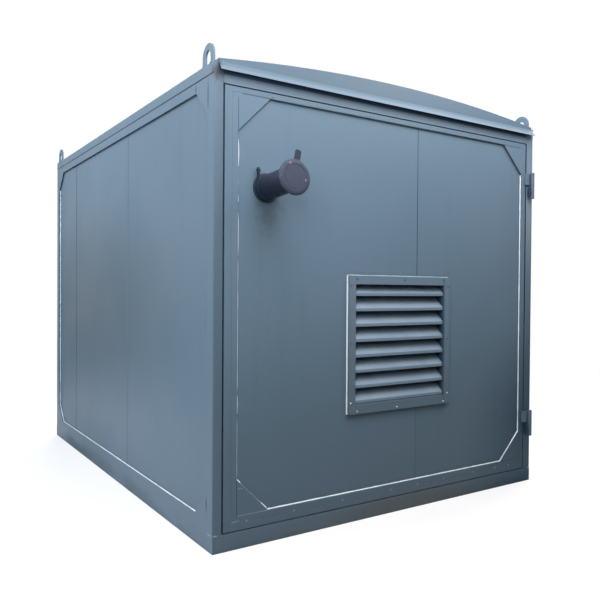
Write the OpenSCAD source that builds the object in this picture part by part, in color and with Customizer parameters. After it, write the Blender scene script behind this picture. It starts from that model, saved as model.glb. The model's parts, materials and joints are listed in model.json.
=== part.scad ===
// Block container for a diesel generator set.
// A welded frame carries recessed wall sheets, an insulated lining and an arched roof. The front
// is one hinged leaf that holds an air louvre and an exhaust pipe with a hinged rain flap.
// Units are millimetres. The origin is at the middle of the underside, the front faces -Y and
// +Z is up.

/* [Container] */
// Width over the side walls
width = 2300; // [1900:1:2800]
// Length from the front face to the rear face
length = 3000; // [2400:1:4200]
// Height from the ground to the top of the top rails
height = 2300; // [2100:1:2800]

/* [Base] */
// Height of the base channels
base_h = 85; // [70:1:110]
// Distance that the base channels reach past the posts, on the inside
base_ledge = 12; // [10:1:40]
// Thickness of the base channels
base_t = 5; // [4:0.5:8]
// Width of each cross member under the floor
cross_w = 60; // [40:1:90]
// Thickness of the floor plate
floor_t = 4; // [3:0.5:6]

/* [Posts and top rails] */
// Front width of the post on the free side of the door
latch_post_w = 50; // [40:1:65]
// Front width of the post on the hinge side of the door
hinge_post_w = 66; // [55:1:95]
// Width of the two rear posts
rear_post_w = 68; // [55:1:80]
// Depth of every post along the side walls
post_depth = 68; // [60:0.1:85]
// Wall thickness of the post tubes
post_t = 4; // [3:0.5:6]
// Height of the top rails
top_rail_h = 60; // [50:1:80]
// Thickness of the top rails
top_rail_t = 4; // [3:0.5:6]
// Height of the header between the top rail and the door
header_h = 40; // [30:1:60]

/* [Walls] */
// Depth at which the wall and door sheets lie behind the frame
recess = 12; // [8:0.1:18]
// Thickness of the outer sheets
sheet_t = 2; // [1.5:0.1:3]
// Distance that the insulated wall panels stand past the posts, on the inside
panel_proud = 2; // [0:0.5:10]
// Height of the trim strip along the base rail
trim_low = 59; // [40:1:90]
// Height of the trim strip along the top rail
trim_high = 50; // [35:1:80]
// Lip of the trim where it only covers a joint
trim_lip = 3; // [2:0.5:6]
// Leg of the corner gussets on the walls
wall_gusset = 130; // [90:1:180]
// Distance from the corner to the first sheet seam
seam_first = 1230; // [900:10:1300]
// Distance from each sheet seam to the next
seam_pitch = 1200; // [1000:10:1500]
// Width of a seam groove
seam_w = 2; // [1:0.5:4]
// Depth of a seam groove
seam_depth = 1; // [0.5:0.1:1.2]

/* [Roof] */
// Distance from the side faces to the roof edges
roof_inset = 20; // [18:1:40]
// Height of the turned-down roof edges
roof_edge = 10; // [6:1:25]
// Rise of the roof arch above its edges
roof_rise = 68; // [40:1:120]
// Thickness of the roof sheet and the gable plates
roof_t = 3; // [2:0.5:4]
// Thickness of the insulated ceiling panel
ceiling_t = 56; // [40:1:59]
// Distance that the drip flange stands out from the front
drip_reach = 34; // [20:1:60]
// Height of the drip flange from its fold to its tip
drip_drop = 44; // [30:1:60]
// Distance from the rail top down to the fold of the drip flange
drip_fold = 5; // [3:1:12]

/* [Lifting eyes] */
// Width of an eye
eye_w = 120; // [90:1:150]
// Height of an eye above the top rail
eye_h = 100; // [80:1:130]
// Width of the steel around the loop
eye_band = 34; // [25:1:40]
// Thickness of the eye plate
eye_t = 10; // [8:1:12]
// Distance from the side face to the middle of the plate
eye_inset = 12; // [10:1:13]
// Distance from the end face to the middle of the eye
eye_setback = 85; // [80:1:150]

/* [Door] */
// Gap round the door leaf
door_gap = 5; // [3:0.5:8]
// Distance from the inner face of the leaf to the ends of the wall panels behind it
door_stop_gap = 6; // [3:1:12]
// Width of the stile on the free side
door_stile_free = 40; // [30:1:60]
// Width of the stile on the hinge side
door_stile_hinge = 33; // [30:1:60]
// Height of the upper door rail
door_rail_high = 25; // [20:1:50]
// Height of the lower door rail
door_rail_low = 38; // [30:1:60]
// Width of the trim strip along the free stile
door_trim_side = 32; // [20:1:60]
// Height of the trim strip along the lower rail
door_trim_low = 31; // [20:1:60]
// Leg of the corner gussets on the door
door_gusset = 175; // [120:1:220]
// Distance from the free edge of the leaf to the seam of its sheet
door_seam = 1236; // [1000:1:1250]

/* [Hinges] */
// Outer radius of the hinge barrels
hinge_r = 13; // [11:0.5:15]
// Radius of the hinge pins
hinge_pin_r = 7; // [5:0.5:8]
// Running clearance round the pins
pin_clear = 0.1; // [0.05:0.01:0.2]
// Height of a whole hinge
hinge_h = 165; // [120:5:200]
// Distance from the front face to the hinge axis
hinge_standoff = 23; // [22:0.5:28]
// Distance from the side face to the hinge axis
hinge_inset = 30; // [25:1:45]
// Thickness of the hinge leaves
hinge_leaf_t = 5; // [4:0.5:6]
// Width of the hinge leaf that is welded on the door
hinge_leaf_w = 10; // [6:1:50]
// Clearance of the door leaf's hinge in front of the post
hinge_leaf_clear = 5; // [5:0.5:8]
// Height of the middle of the lower hinge above the ground
hinge_low_z = 384; // [300:1:500]
// Distance from the top of the container down to the middle of the upper hinge
hinge_high_drop = 373; // [300:1:500]

/* [Louvre] */
// Outer width of the louvre frame
louvre_w = 750; // [600:10:800]
// Outer height of the louvre frame
louvre_h = 742; // [600:1:800]
// Height of the lower edge of the louvre frame above the ground
louvre_z = 577; // [400:1:700]
// Distance from the middle of the container to the middle of the louvre, towards the hinges
louvre_x = 13; // [-100:1:100]
// Distance that the louvre frame stands out from the door sheet
louvre_proud = 20; // [13:1:30]
// Width of the side borders
louvre_side = 46; // [30:1:60]
// Height of the upper border
louvre_high = 47; // [30:1:60]
// Height of the lower border
louvre_low = 52; // [30:1:60]
// Sheet thickness of the louvre
louvre_t = 3; // [2:0.5:4]
// Height of the lip on the front edge of each blade
blade_lip = 16; // [10:1:24]
// Distance from the frame face back to the blade lips
blade_setback = 10; // [6:1:11]
// Distance from the lower edge of the louvre opening up to the first blade
blade_low_gap = 3; // [1:1:6]
// Distance from the last lip up to the upper edge of the louvre opening
blade_high_gap = 46; // [20:1:60]

/* [Exhaust] */
// Outer radius of the exhaust pipe
pipe_r = 60; // [50:1:80]
// Wall thickness of the exhaust pipe
pipe_t = 3; // [2:0.5:5]
// Distance from the free-side wall face to the pipe axis
pipe_inset = 284; // [240:1:340]
// Distance from the top of the top rails down to the pipe axis
pipe_drop = 566; // [500:1:700]
// Distance that the pipe stands out from the front face
pipe_reach = 244; // [180:1:320]
// Angle by which the pipe points up
pipe_tilt = 4; // [0:0.5:5]
// Length of the pipe behind the door leaf
pipe_stub = 20; // [5:1:40]
// Width of the cover ring round the pipe, on the door sheet
rose_band = 11; // [8:1:25]
// Thickness of the cover ring
rose_t = 6; // [4:1:10]
// Clearance of the pipe in its holes
pipe_hole_clear = 1; // [0.5:0.1:3]
// Thickness of the bands round the pipe
band_t = 4; // [3:0.5:6]
// Clearance of the bands and the cover ring on the pipe
band_clear = 0.1; // [0.05:0.01:0.3]
// Width of the clamp band
clamp_w = 18; // [14:1:30]
// Gap between the cover ring and the clamp band
clamp_gap = 8; // [8:1:40]
// Angle of the clamp ears round the pipe, from its top towards the free side
clamp_ear_angle = 60; // [20:1:65]
// Height of the clamp ears above the pipe
clamp_ear_rise = 32; // [24:1:45]

/* [Rain flap] */
// Distance that the flap reaches past the pipe, all round
flap_overhang = 23.5; // [16:0.5:30]
// Depth of the dished flap
flap_depth = 15; // [12:1:20]
// Height of the upright edge round the flap
flap_edge = 4; // [2:0.5:6]
// Width of the rounded shoulder between the edge and the flat face
flap_shoulder = 24; // [16:1:30]
// Wall thickness of the flat face
flap_t = 4; // [3:0.5:6]
// Width of the seat on the flap, inside the bore of the pipe
flap_seat = 5; // [3:0.5:8]
// Width of the groove round the flat face
flap_groove_w = 3; // [2:0.5:5]
// Depth of the groove round the flat face
flap_groove_depth = 1.5; // [0.5:0.1:2]
// Gap between the flap and the pipe end
flap_gap = 0.5; // [0.3:0.1:1]
// Angle by which the flap is turned round the pipe, clockwise
flap_clock = 13; // [0:0.5:30]
// Width of the lever tab
tab_w = 32; // [24:1:40]
// Thickness of the lever tab
tab_t = 5; // [4:0.5:6]
// Height of the lever tab above the flap
tab_rise = 50; // [35:0.5:70]
// Radius of the flap pin
flap_pin_r = 4; // [3:0.5:5]
// Distance from the pipe surface to the flap axis
flap_axis_rise = 14; // [13:1:20]
// Distance from the pipe end back to the flap axis
flap_axis_back = 15; // [15:0.5:20]
// Radius of the flap knuckle
knuckle_r = 7; // [6:0.5:8]
// Thickness of the bracket ears
bracket_ear_t = 5; // [4:0.5:8]
// Sideways clearance between the tab and each ear
bracket_clear = 1.5; // [0.5:0.1:3]

/* [Hidden] */
SIDES = ["front", "right", "rear", "left"];
WALLS = ["right", "rear", "left"];
CORNERS = ["front_left", "front_right", "rear_left", "rear_right"];
LEVELS = ["lower", "upper"];
CROSS_COUNT = 3;
BLADE_COUNT = 8;

FRAME_BLUE = "#5f7383";
SHEET_BLUE = "#6c8293";
LINING_GREY = "#b9bec1";
FLOOR_GREY = "#6b6d6e";
PIPE_BLACK = "#2c2b2e";
FLAP_GREY = "#56525c";

// $fn of the bores and barrels, and of the wide roof arch
ROUND = 64;
ARCH_ROUND = 1440;
// Angle between two points on the flap's shoulder
SHOULDER_STEP = 15;
// Extra depth that carries a cut past a face
PAST = 1;

rail_low_z = height - top_rail_h;
wall_h = rail_low_z - base_h;
wall_depth = post_depth + panel_proud;
base_depth = post_depth + base_ledge;
top_rail_depth = post_depth;

// The roof arch passes through both roof edges and the crown.
roof_half = width / 2 - roof_inset;
roof_r = (roof_half * roof_half + roof_rise * roof_rise) / (2 * roof_rise);
roof_crown = height + roof_edge + roof_rise;
fold_z = height - drip_fold;

// Door leaf, in the plane of the front face. Its edges close against the wall panels' ends.
door_t = post_depth - door_stop_gap;
door_x0 = -width / 2 + latch_post_w + door_gap;
door_x1 = width / 2 - hinge_post_w - door_gap;
door_z0 = base_h + door_gap;
door_z1 = rail_low_z - header_h - door_gap;
sheet_x0 = door_x0 + door_stile_free;
sheet_x1 = door_x1 - door_stile_hinge;
sheet_z0 = door_z0 + door_rail_low;
sheet_z1 = door_z1 - door_rail_high;

hinge_x = width / 2 - hinge_inset;
hinge_zs = [hinge_low_z, height - hinge_high_drop];
hinge_gap = 0.5;

// Louvre opening and blades
open_x = louvre_w / 2 - louvre_side;
open_z0 = louvre_z + louvre_low;
open_z1 = louvre_z + louvre_h - louvre_high;
blade_pitch = (open_z1 - open_z0 - blade_low_gap - blade_lip - blade_high_gap) / (BLADE_COUNT - 1);
// Each blade rises behind the lip of the next, so that no straight view passes between them.
blade_run = blade_pitch - blade_lip;
blade_slope_t = louvre_t * sqrt(2);
louvre_face = recess - louvre_proud;
louvre_clear = 1;
sleeve_cover = 2;
sleeve_depth = blade_setback + blade_run + blade_slope_t + sleeve_cover;

pipe_x = -width / 2 + pipe_inset;
pipe_z = height - pipe_drop;
flap_axis_y = flap_axis_back - pipe_reach;
flap_axis_z = pipe_r + flap_axis_rise;
band_r = pipe_r + band_clear;
clamp_ear_x = pipe_r * sin(clamp_ear_angle);
clamp_ear_top = pipe_r + clamp_ear_rise;
flap_r = pipe_r + flap_overhang;
tab_top = flap_r + tab_rise;

// ---- Helpers -------------------------------------------------------------------------------

// Length of a side: 0 is the front, 1 the right, 2 the rear and 3 the left
function side_len(i) = i % 2 == 0 ? width : length;
// Width of a post along that side
function post_along(i) = i % 2 == 0 ? rear_post_w : post_depth;
// Corner signs, in the order of CORNERS
function corner_x(i) = i % 2 == 0 ? -1 : 1;
function corner_y(i) = i < 2 ? -1 : 1;
// Outline with four chamfered corners
function octagon(x0, x1, z0, z1, c) = [
    [x0 + c, z0], [x1 - c, z0], [x1, z0 + c], [x1, z1 - c],
    [x1 - c, z1], [x0 + c, z1], [x0, z1 - c], [x0, z0 + c]
];

// Local frame of a side: x runs along it, y = 0 is its outer face and +y points inwards
module on_side(i) {
    rotate(90 * i)
        translate([0, -side_len(i + 1) / 2, 0])
            children();
}

module box(low, high) {
    translate(low)
        cube(high - low);
}

module rect(low, high) {
    translate(low)
        square(high - low);
}

// Plate of thickness t whose outline lies in the XZ plane, from y0 inwards
module upright(y0, t) {
    translate([0, y0 + t, 0])
        rotate([90, 0, 0])
            linear_extrude(t)
                children();
}

// Bar along X from x0 to x1 whose section lies in the YZ plane
module along_x(x0, x1) {
    translate([x0, 0, 0])
        rotate([90, 0, 90])
            linear_extrude(x1 - x0)
                children();
}

// Rod along Y from y0 to y1
module rod_y(r, y0, y1) {
    translate([0, y1, 0])
        rotate([90, 0, 0])
            cylinder(r = r, h = y1 - y0, $fn = ROUND);
}

// Rod along X, centred on x = 0
module rod_x(r, len) {
    rotate([0, 90, 0])
        cylinder(r = r, h = len, center = true, $fn = ROUND);
}

module ring_y(r_in, r_out, y0, y1) {
    difference() {
        rod_y(r_out, y0, y1);
        rod_y(r_in, y0 - PAST, y1 + PAST);
    }
}

// Channel with mitred ends, its web on y = 0 and its flanges inwards
module mitred_channel(len, depth, h, t) {
    module plan(d) {
        polygon([[-len / 2, 0], [len / 2, 0], [len / 2 - d, d], [-len / 2 + d, d]]);
    }
    linear_extrude(h)
        plan(t);
    for (z = [0, h - t])
        translate([0, 0, z])
            linear_extrude(t)
                plan(depth);
}

// ---- Base ----------------------------------------------------------------------------------

module base_rail(i) {
    color(FRAME_BLUE)
        on_side(i)
            mitred_channel(side_len(i), base_depth, base_h, base_t);
}

module base_cross_member(i) {
    reach = width / 2 - base_depth;
    middle = (i - (CROSS_COUNT + 1) / 2) * length / (CROSS_COUNT + 1);
    top = base_h - floor_t;
    color(FRAME_BLUE)
        difference() {
            box([-reach, middle - cross_w / 2, 0], [reach, middle + cross_w / 2, top]);
            box([-reach - PAST, middle - cross_w / 2 + base_t, base_t],
                [reach + PAST, middle + cross_w / 2 - base_t, top - base_t]);
        }
}

module floor_plate() {
    x = width / 2 - base_depth;
    y = length / 2 - base_depth;
    color(FLOOR_GREY)
        box([-x, -y, base_h - floor_t], [x, y, base_h]);
}

// ---- Posts and top rails -------------------------------------------------------------------

module corner_post(i) {
    w = i == 0 ? latch_post_w : i == 1 ? hinge_post_w : rear_post_w;
    color(FRAME_BLUE)
        scale([corner_x(i), corner_y(i), 1])
            translate([width / 2 - w, length / 2 - post_depth, base_h])
                difference() {
                    cube([w, post_depth, wall_h]);
                    translate([post_t, post_t, -PAST])
                        cube([w - 2 * post_t, post_depth - 2 * post_t, wall_h + 2 * PAST]);
                }
}

module top_rail(i) {
    color(FRAME_BLUE)
        translate([0, 0, rail_low_z])
            on_side(i)
                mitred_channel(side_len(i), top_rail_depth, top_rail_h, top_rail_t);
}

module door_header() {
    x0 = -width / 2 + latch_post_w;
    x1 = width / 2 - hinge_post_w;
    color(FRAME_BLUE)
        on_side(0)
            along_x(x0, x1)
                difference() {
                    rect([0, rail_low_z - header_h], [post_depth, rail_low_z]);
                    rect([top_rail_t, rail_low_z - header_h + top_rail_t],
                         [post_depth - top_rail_t, rail_low_z - top_rail_t]);
                }
}

// ---- Walls ---------------------------------------------------------------------------------

// Places of the sheet seams along a wall, counted from the corner nearest to the front
function seam_places(i) =
    let (len = side_len(i), towards_front = i == 1 ? -1 : 1)
    [for (d = [seam_first : seam_pitch : len - 2 * post_along(i)]) towards_front * (len / 2 - d)];

module wall_sheet(i) {
    half = side_len(i) / 2 - post_along(i);
    color(SHEET_BLUE)
        on_side(i)
            difference() {
                box([-half, recess, base_h], [half, recess + sheet_t, rail_low_z]);
                for (x = seam_places(i))
                    box([x - seam_w / 2, recess - PAST, base_h - PAST],
                        [x + seam_w / 2, recess + seam_depth, rail_low_z + PAST]);
            }
}

module wall_trim(i) {
    half = side_len(i) / 2 - post_along(i);
    inner = half - trim_lip;
    color(FRAME_BLUE)
        on_side(i)
            upright(0, recess)
                difference() {
                    rect([-half, base_h], [half, rail_low_z]);
                    polygon(octagon(-inner, inner, base_h + trim_low, rail_low_z - trim_high, wall_gusset));
                }
}

// The rear panel ends at the inner faces of the side panels where these stand past the posts.
module wall_panel(i) {
    half = side_len(i) / 2 - (i == 2 ? max(rear_post_w, wall_depth) : post_depth);
    color(LINING_GREY)
        on_side(i)
            box([-half, recess + sheet_t, base_h], [half, wall_depth, rail_low_z]);
}

// ---- Ceiling and roof ----------------------------------------------------------------------

module ceiling_panel() {
    x = width / 2 - top_rail_depth;
    y = length / 2 - top_rail_depth;
    color(LINING_GREY)
        box([-x, -y, rail_low_z], [x, y, rail_low_z + ceiling_t]);
}

// Region under the roof arch, drawn in the XZ plane and thinned by t at its edges and its top
module arch_region(t, low) {
    intersection() {
        rect([-roof_half + t, low], [roof_half - t, roof_crown]);
        translate([0, roof_crown - roof_r])
            circle(r = roof_r - t, $fn = ARCH_ROUND);
    }
}

module roof_sheet() {
    color(FRAME_BLUE)
        upright(-length / 2, length)
            difference() {
                arch_region(0, height);
                arch_region(roof_t, height - PAST);
            }
}

module gable(i) {
    tip_z = fold_z - drip_drop;
    color(FRAME_BLUE)
        on_side(i) {
            upright(-roof_t, roof_t)
                arch_region(0, fold_z);
            along_x(-roof_half, roof_half)
                polygon([[0, fold_z], [-roof_t, fold_z], [-drip_reach, tip_z], [roof_t - drip_reach, tip_z]]);
        }
}

module gable_front() {
    gable(0);
}

module gable_rear() {
    gable(2);
}

// Outline with a round top of radius r about the height z, and straight sides below it
module arch_plate(r, z) {
    rect([-r, -PAST], [r, z]);
    translate([0, z])
        circle(r = r, $fn = ROUND);
}

module lifting_eye(i) {
    r_out = eye_w / 2;
    r_in = r_out - eye_band;
    color(FRAME_BLUE)
        translate([corner_x(i) * (width / 2 - eye_inset), corner_y(i) * (length / 2 - eye_setback), height])
            along_x(-eye_t / 2, eye_t / 2)
                intersection() {
                    rect([-r_out, 0], [r_out, eye_h]);
                    difference() {
                        arch_plate(r_out, eye_h - r_out);
                        arch_plate(r_in, eye_h - r_out);
                    }
                }
}

// ---- Hinges --------------------------------------------------------------------------------

module hinge_place(i) {
    translate([hinge_x, -length / 2 - hinge_standoff, hinge_zs[i]])
        children();
}

// Lower barrel with its pin, and the web that carries it on the post
module hinge_post_half(i) {
    color(FRAME_BLUE)
        hinge_place(i) {
            translate([0, 0, -hinge_h / 2])
                cylinder(r = hinge_r, h = hinge_h / 2 - hinge_gap / 2, $fn = ROUND);
            translate([0, 0, -hinge_gap])
                cylinder(r = hinge_pin_r, h = hinge_h / 3, $fn = ROUND);
            translate([0, 0, -hinge_h / 2])
                box([-hinge_leaf_t / 2, 0, 0], [hinge_leaf_t / 2, hinge_standoff, hinge_h / 2 - hinge_leaf_t]);
        }
}

// Upper barrel, and the angled leaf that joins it to the door. In front of the post the leaf is
// relieved, and on the door it is packed out to the same plane.
module hinge_door_half(i) {
    t = hinge_leaf_t;
    edge = door_x1 - hinge_x;
    back = hinge_standoff - hinge_leaf_clear;
    top = hinge_h / 2 - t;
    color(FRAME_BLUE)
        hinge_place(i)
            difference() {
                union() {
                    translate([0, 0, hinge_gap / 2])
                        cylinder(r = hinge_r, h = hinge_h / 2 - hinge_gap / 2, $fn = ROUND);
                    box([-t, 0, t], [0, back, top]);
                    box([edge, back - t, t], [0, back, top]);
                    box([edge - hinge_leaf_w, back - t, t], [edge, hinge_standoff, top]);
                }
                cylinder(r = hinge_pin_r + pin_clear, h = hinge_h / 3 + t, $fn = ROUND);
            }
}

// ---- Door ----------------------------------------------------------------------------------

module door_frame() {
    color(FRAME_BLUE)
        on_side(0)
            upright(0, door_t)
                difference() {
                    rect([door_x0, door_z0], [door_x1, door_z1]);
                    rect([sheet_x0, sheet_z0], [sheet_x1, sheet_z1]);
                }
}

module door_trim() {
    color(FRAME_BLUE)
        on_side(0)
            upright(0, recess)
                difference() {
                    rect([sheet_x0, sheet_z0], [sheet_x1, sheet_z1]);
                    polygon(octagon(sheet_x0 + door_trim_side, sheet_x1 - trim_lip,
                                    sheet_z0 + door_trim_low, sheet_z1 - trim_lip, door_gusset));
                }
}

// Layer of the door leaf, cut out for the louvre sleeve and the exhaust pipe
module door_layer(y0, t) {
    border = louvre_t + louvre_clear;
    difference() {
        on_side(0)
            difference() {
                box([sheet_x0, y0, sheet_z0], [sheet_x1, y0 + t, sheet_z1]);
                box([louvre_x - open_x - border, y0 - PAST, open_z0 - border],
                    [louvre_x + open_x + border, y0 + t + PAST, open_z1 + border]);
            }
        pipe_cut(pipe_r + pipe_hole_clear);
    }
}

module door_sheet() {
    seam_x = door_x0 + door_seam;
    color(SHEET_BLUE)
        difference() {
            door_layer(recess, sheet_t);
            on_side(0)
                box([seam_x - seam_w / 2, recess - PAST, sheet_z0 - PAST],
                    [seam_x + seam_w / 2, recess + seam_depth, sheet_z1 + PAST]);
        }
}

module door_panel() {
    y0 = recess + sheet_t;
    color(LINING_GREY)
        door_layer(y0, door_t - y0);
}

// ---- Louvre --------------------------------------------------------------------------------

// Sleeve of sheet round the louvre opening, from y0 to y1
module louvre_sleeve(y0, y1) {
    t = louvre_t;
    upright(y0, y1 - y0)
        difference() {
            rect([-open_x - t, open_z0 - t], [open_x + t, open_z1 + t]);
            rect([-open_x, open_z0], [open_x, open_z1]);
        }
}

module louvre_frame() {
    half = louvre_w / 2;
    t = louvre_t;
    top = louvre_z + louvre_h;
    color(FRAME_BLUE)
        on_side(0)
            translate([louvre_x, 0, 0]) {
                upright(louvre_face, t)
                    difference() {
                        rect([-half, louvre_z], [half, top]);
                        rect([-open_x, open_z0], [open_x, open_z1]);
                    }
                upright(louvre_face, louvre_proud)
                    difference() {
                        rect([-half, louvre_z], [half, top]);
                        rect([-half + t, louvre_z + t], [half - t, top - t]);
                    }
                louvre_sleeve(louvre_face, louvre_face + sleeve_depth);
            }
}

// Blade with an upright lip in front and a sheet that slopes up at 45 degrees behind it
module louvre_blade(i) {
    t = louvre_t;
    y = louvre_face + blade_setback;
    slope = blade_slope_t;
    z = open_z0 + blade_low_gap + (i - 1) * blade_pitch;
    top = min(blade_run, open_z1 - z - blade_lip);
    color(SHEET_BLUE)
        on_side(0)
            along_x(louvre_x - open_x, louvre_x + open_x)
                translate([y, z])
                    polygon([[0, 0], [t, 0], [t, blade_lip - slope + t], [top + slope, blade_lip + top],
                             [top, blade_lip + top], [0, blade_lip]]);
}

// ---- Exhaust -------------------------------------------------------------------------------

// Frame on the pipe axis where it crosses the front face, turned up by the pipe's tilt
module on_pipe() {
    translate([pipe_x, -length / 2, pipe_z])
        rotate([-pipe_tilt, 0, 0])
            children();
}

// Rod on the pipe axis that cuts a hole of radius r through the whole door leaf
module pipe_cut(r) {
    on_pipe()
        rod_y(r, -pipe_r, door_t + pipe_r);
}

module exhaust_pipe() {
    color(PIPE_BLACK)
        on_pipe()
            ring_y(pipe_r - pipe_t, pipe_r, -pipe_reach, door_t + pipe_stub);
}

// Ring that lies flat on the door sheet and fits round the tilted pipe
module exhaust_cover_ring() {
    color(PIPE_BLACK)
        difference() {
            translate([pipe_x, -length / 2, pipe_z])
                rod_y(pipe_r + rose_band, recess - rose_t, recess);
            pipe_cut(band_r);
        }
}

// Band with two ears and the bolt that draws them together
module exhaust_clamp() {
    ear_t = 3;
    ear_gap = 4;
    bolt_r = 4;
    bolt_len = 24;
    y1 = recess - rose_t - clamp_gap;
    y0 = y1 - clamp_w;
    color(PIPE_BLACK)
        on_pipe() {
            ring_y(band_r, band_r + band_t, y0, y1);
            for (x = [-clamp_ear_x - ear_gap / 2, -clamp_ear_x + ear_gap / 2 + ear_t])
                box([x - ear_t, y0 + ear_t, sqrt(pow(band_r + 1, 2) - x * x)], [x, y1 - ear_t, clamp_ear_top]);
            translate([-clamp_ear_x, (y0 + y1) / 2, clamp_ear_top - 3 * bolt_r])
                rod_x(bolt_r, bolt_len);
        }
}

// Frame of the flap: as on_pipe, turned round the pipe by the flap's clock angle
module on_flap() {
    on_pipe()
        rotate([0, flap_clock, 0])
            children();
}

module at_flap_axis() {
    translate([0, flap_axis_y, flap_axis_z])
        children();
}

// Collar on the pipe with two ears that carry the flap pin
module flap_bracket() {
    boss_r = knuckle_r + 1;
    gap = tab_w / 2 + bracket_clear;
    y0 = flap_axis_y - knuckle_r + 2;
    y1 = flap_axis_y + boss_r;
    foot_z = sqrt(band_r * band_r - pow(gap + bracket_ear_t, 2));
    color(PIPE_BLACK)
        on_flap() {
            ring_y(band_r, band_r + band_t, y0, y1 + boss_r);
            for (x = [-gap - bracket_ear_t, gap])
                difference() {
                    union() {
                        box([x, y0, foot_z], [x + bracket_ear_t, y1, flap_axis_z]);
                        at_flap_axis()
                            translate([x + bracket_ear_t / 2, 0, 0])
                                rod_x(boss_r, bracket_ear_t);
                    }
                    at_flap_axis()
                        rod_x(flap_pin_r, 2 * (gap + bracket_ear_t + PAST));
                    rod_y(band_r, y0 - PAST, y1 + PAST);
                }
        }
}

module flap_pin() {
    len = tab_w + 2 * (bracket_clear + bracket_ear_t);
    head_t = 3;
    head_r = flap_pin_r + 2;
    color(FLAP_GREY)
        on_flap()
            at_flap_axis() {
                rod_x(flap_pin_r, len);
                for (x = [-1, 1])
                    translate([x * (len + head_t) / 2, 0, 0])
                        rod_x(head_r, head_t);
            }
}

// Dished lid, hollow behind its face: the shoulder is a quarter of an ellipse that runs from the
// upright edge to the flat face, and a groove runs round the face.
module flap_lid() {
    face_r = flap_r - flap_shoulder;
    hollow_r = pipe_r - pipe_t - flap_seat;
    shoulder_h = flap_depth - flap_edge;
    groove_r = face_r - flap_groove_w;
    floor_d = flap_depth - flap_groove_depth;
    rotate([90, 0, 0])
        rotate_extrude($fn = ROUND)
            polygon(concat(
                [[hollow_r, 0], [flap_r, 0]],
                [for (a = [0:SHOULDER_STEP:90])
                    [face_r + flap_shoulder * cos(a), flap_edge + shoulder_h * sin(a)]],
                [[groove_r + flap_groove_w / 2, flap_depth], [groove_r + flap_groove_w / 2, floor_d],
                 [groove_r - flap_groove_w / 2, floor_d], [groove_r - flap_groove_w / 2, flap_depth],
                 [0, flap_depth], [0, flap_depth - flap_t], [hollow_r, flap_depth - flap_t]]
            ));
}

// Lid with a lever tab above it and a knuckle behind the tab
module rain_flap() {
    y1 = -pipe_reach - flap_gap;
    foot = pipe_r + 2;
    corner = tab_w / 5;
    half = tab_w / 2;
    color(FLAP_GREY)
        on_flap() {
            translate([0, y1, 0])
                flap_lid();
            upright(y1, tab_t)
                polygon([[-half, foot], [half, foot], [half, tab_top - corner], [half - corner, tab_top],
                         [-half + corner, tab_top], [-half, tab_top - corner]]);
            difference() {
                union() {
                    box([-half, y1 + tab_t, flap_axis_z - knuckle_r], [half, flap_axis_y, flap_axis_z + knuckle_r]);
                    at_flap_axis()
                        rod_x(knuckle_r, tab_w);
                }
                at_flap_axis()
                    rod_x(flap_pin_r + pin_clear, tab_w + 2 * PAST);
            }
        }
}

// ---- Assembly ------------------------------------------------------------------------------

for (i = [0:3])
    base_rail(i);
for (i = [1:CROSS_COUNT])
    base_cross_member(i);
floor_plate();
for (i = [0:3])
    corner_post(i);
for (i = [0:3])
    top_rail(i);
door_header();
for (i = [1:3])
    wall_sheet(i);
for (i = [1:3])
    wall_trim(i);
for (i = [1:3])
    wall_panel(i);
ceiling_panel();
roof_sheet();
gable_front();
gable_rear();
for (i = [0:3])
    lifting_eye(i);
for (i = [0:1])
    hinge_post_half(i);
door_frame();
door_trim();
door_sheet();
door_panel();
for (i = [0:1])
    hinge_door_half(i);
louvre_frame();
for (i = [1:BLADE_COUNT])
    louvre_blade(i);
exhaust_pipe();
exhaust_cover_ring();
exhaust_clamp();
flap_bracket();
flap_pin();
rain_flap();
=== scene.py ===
"""Looks of a steel container that houses a diesel generator set.

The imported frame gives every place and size. Steel members and sheets are shown by copies with folded edges,
and the small work that a builder adds by hand, such as sealant, rivets, welds and rubber, is worked out here.
Lengths are in metres, X runs along the front from left to right, Y runs inwards and Z up.
"""

import json
import logging
import math
from dataclasses import dataclass, field
from enum import Enum
from typing import ClassVar

import bmesh
import bpy
import numpy as np
from mathutils import Matrix, Vector

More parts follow.
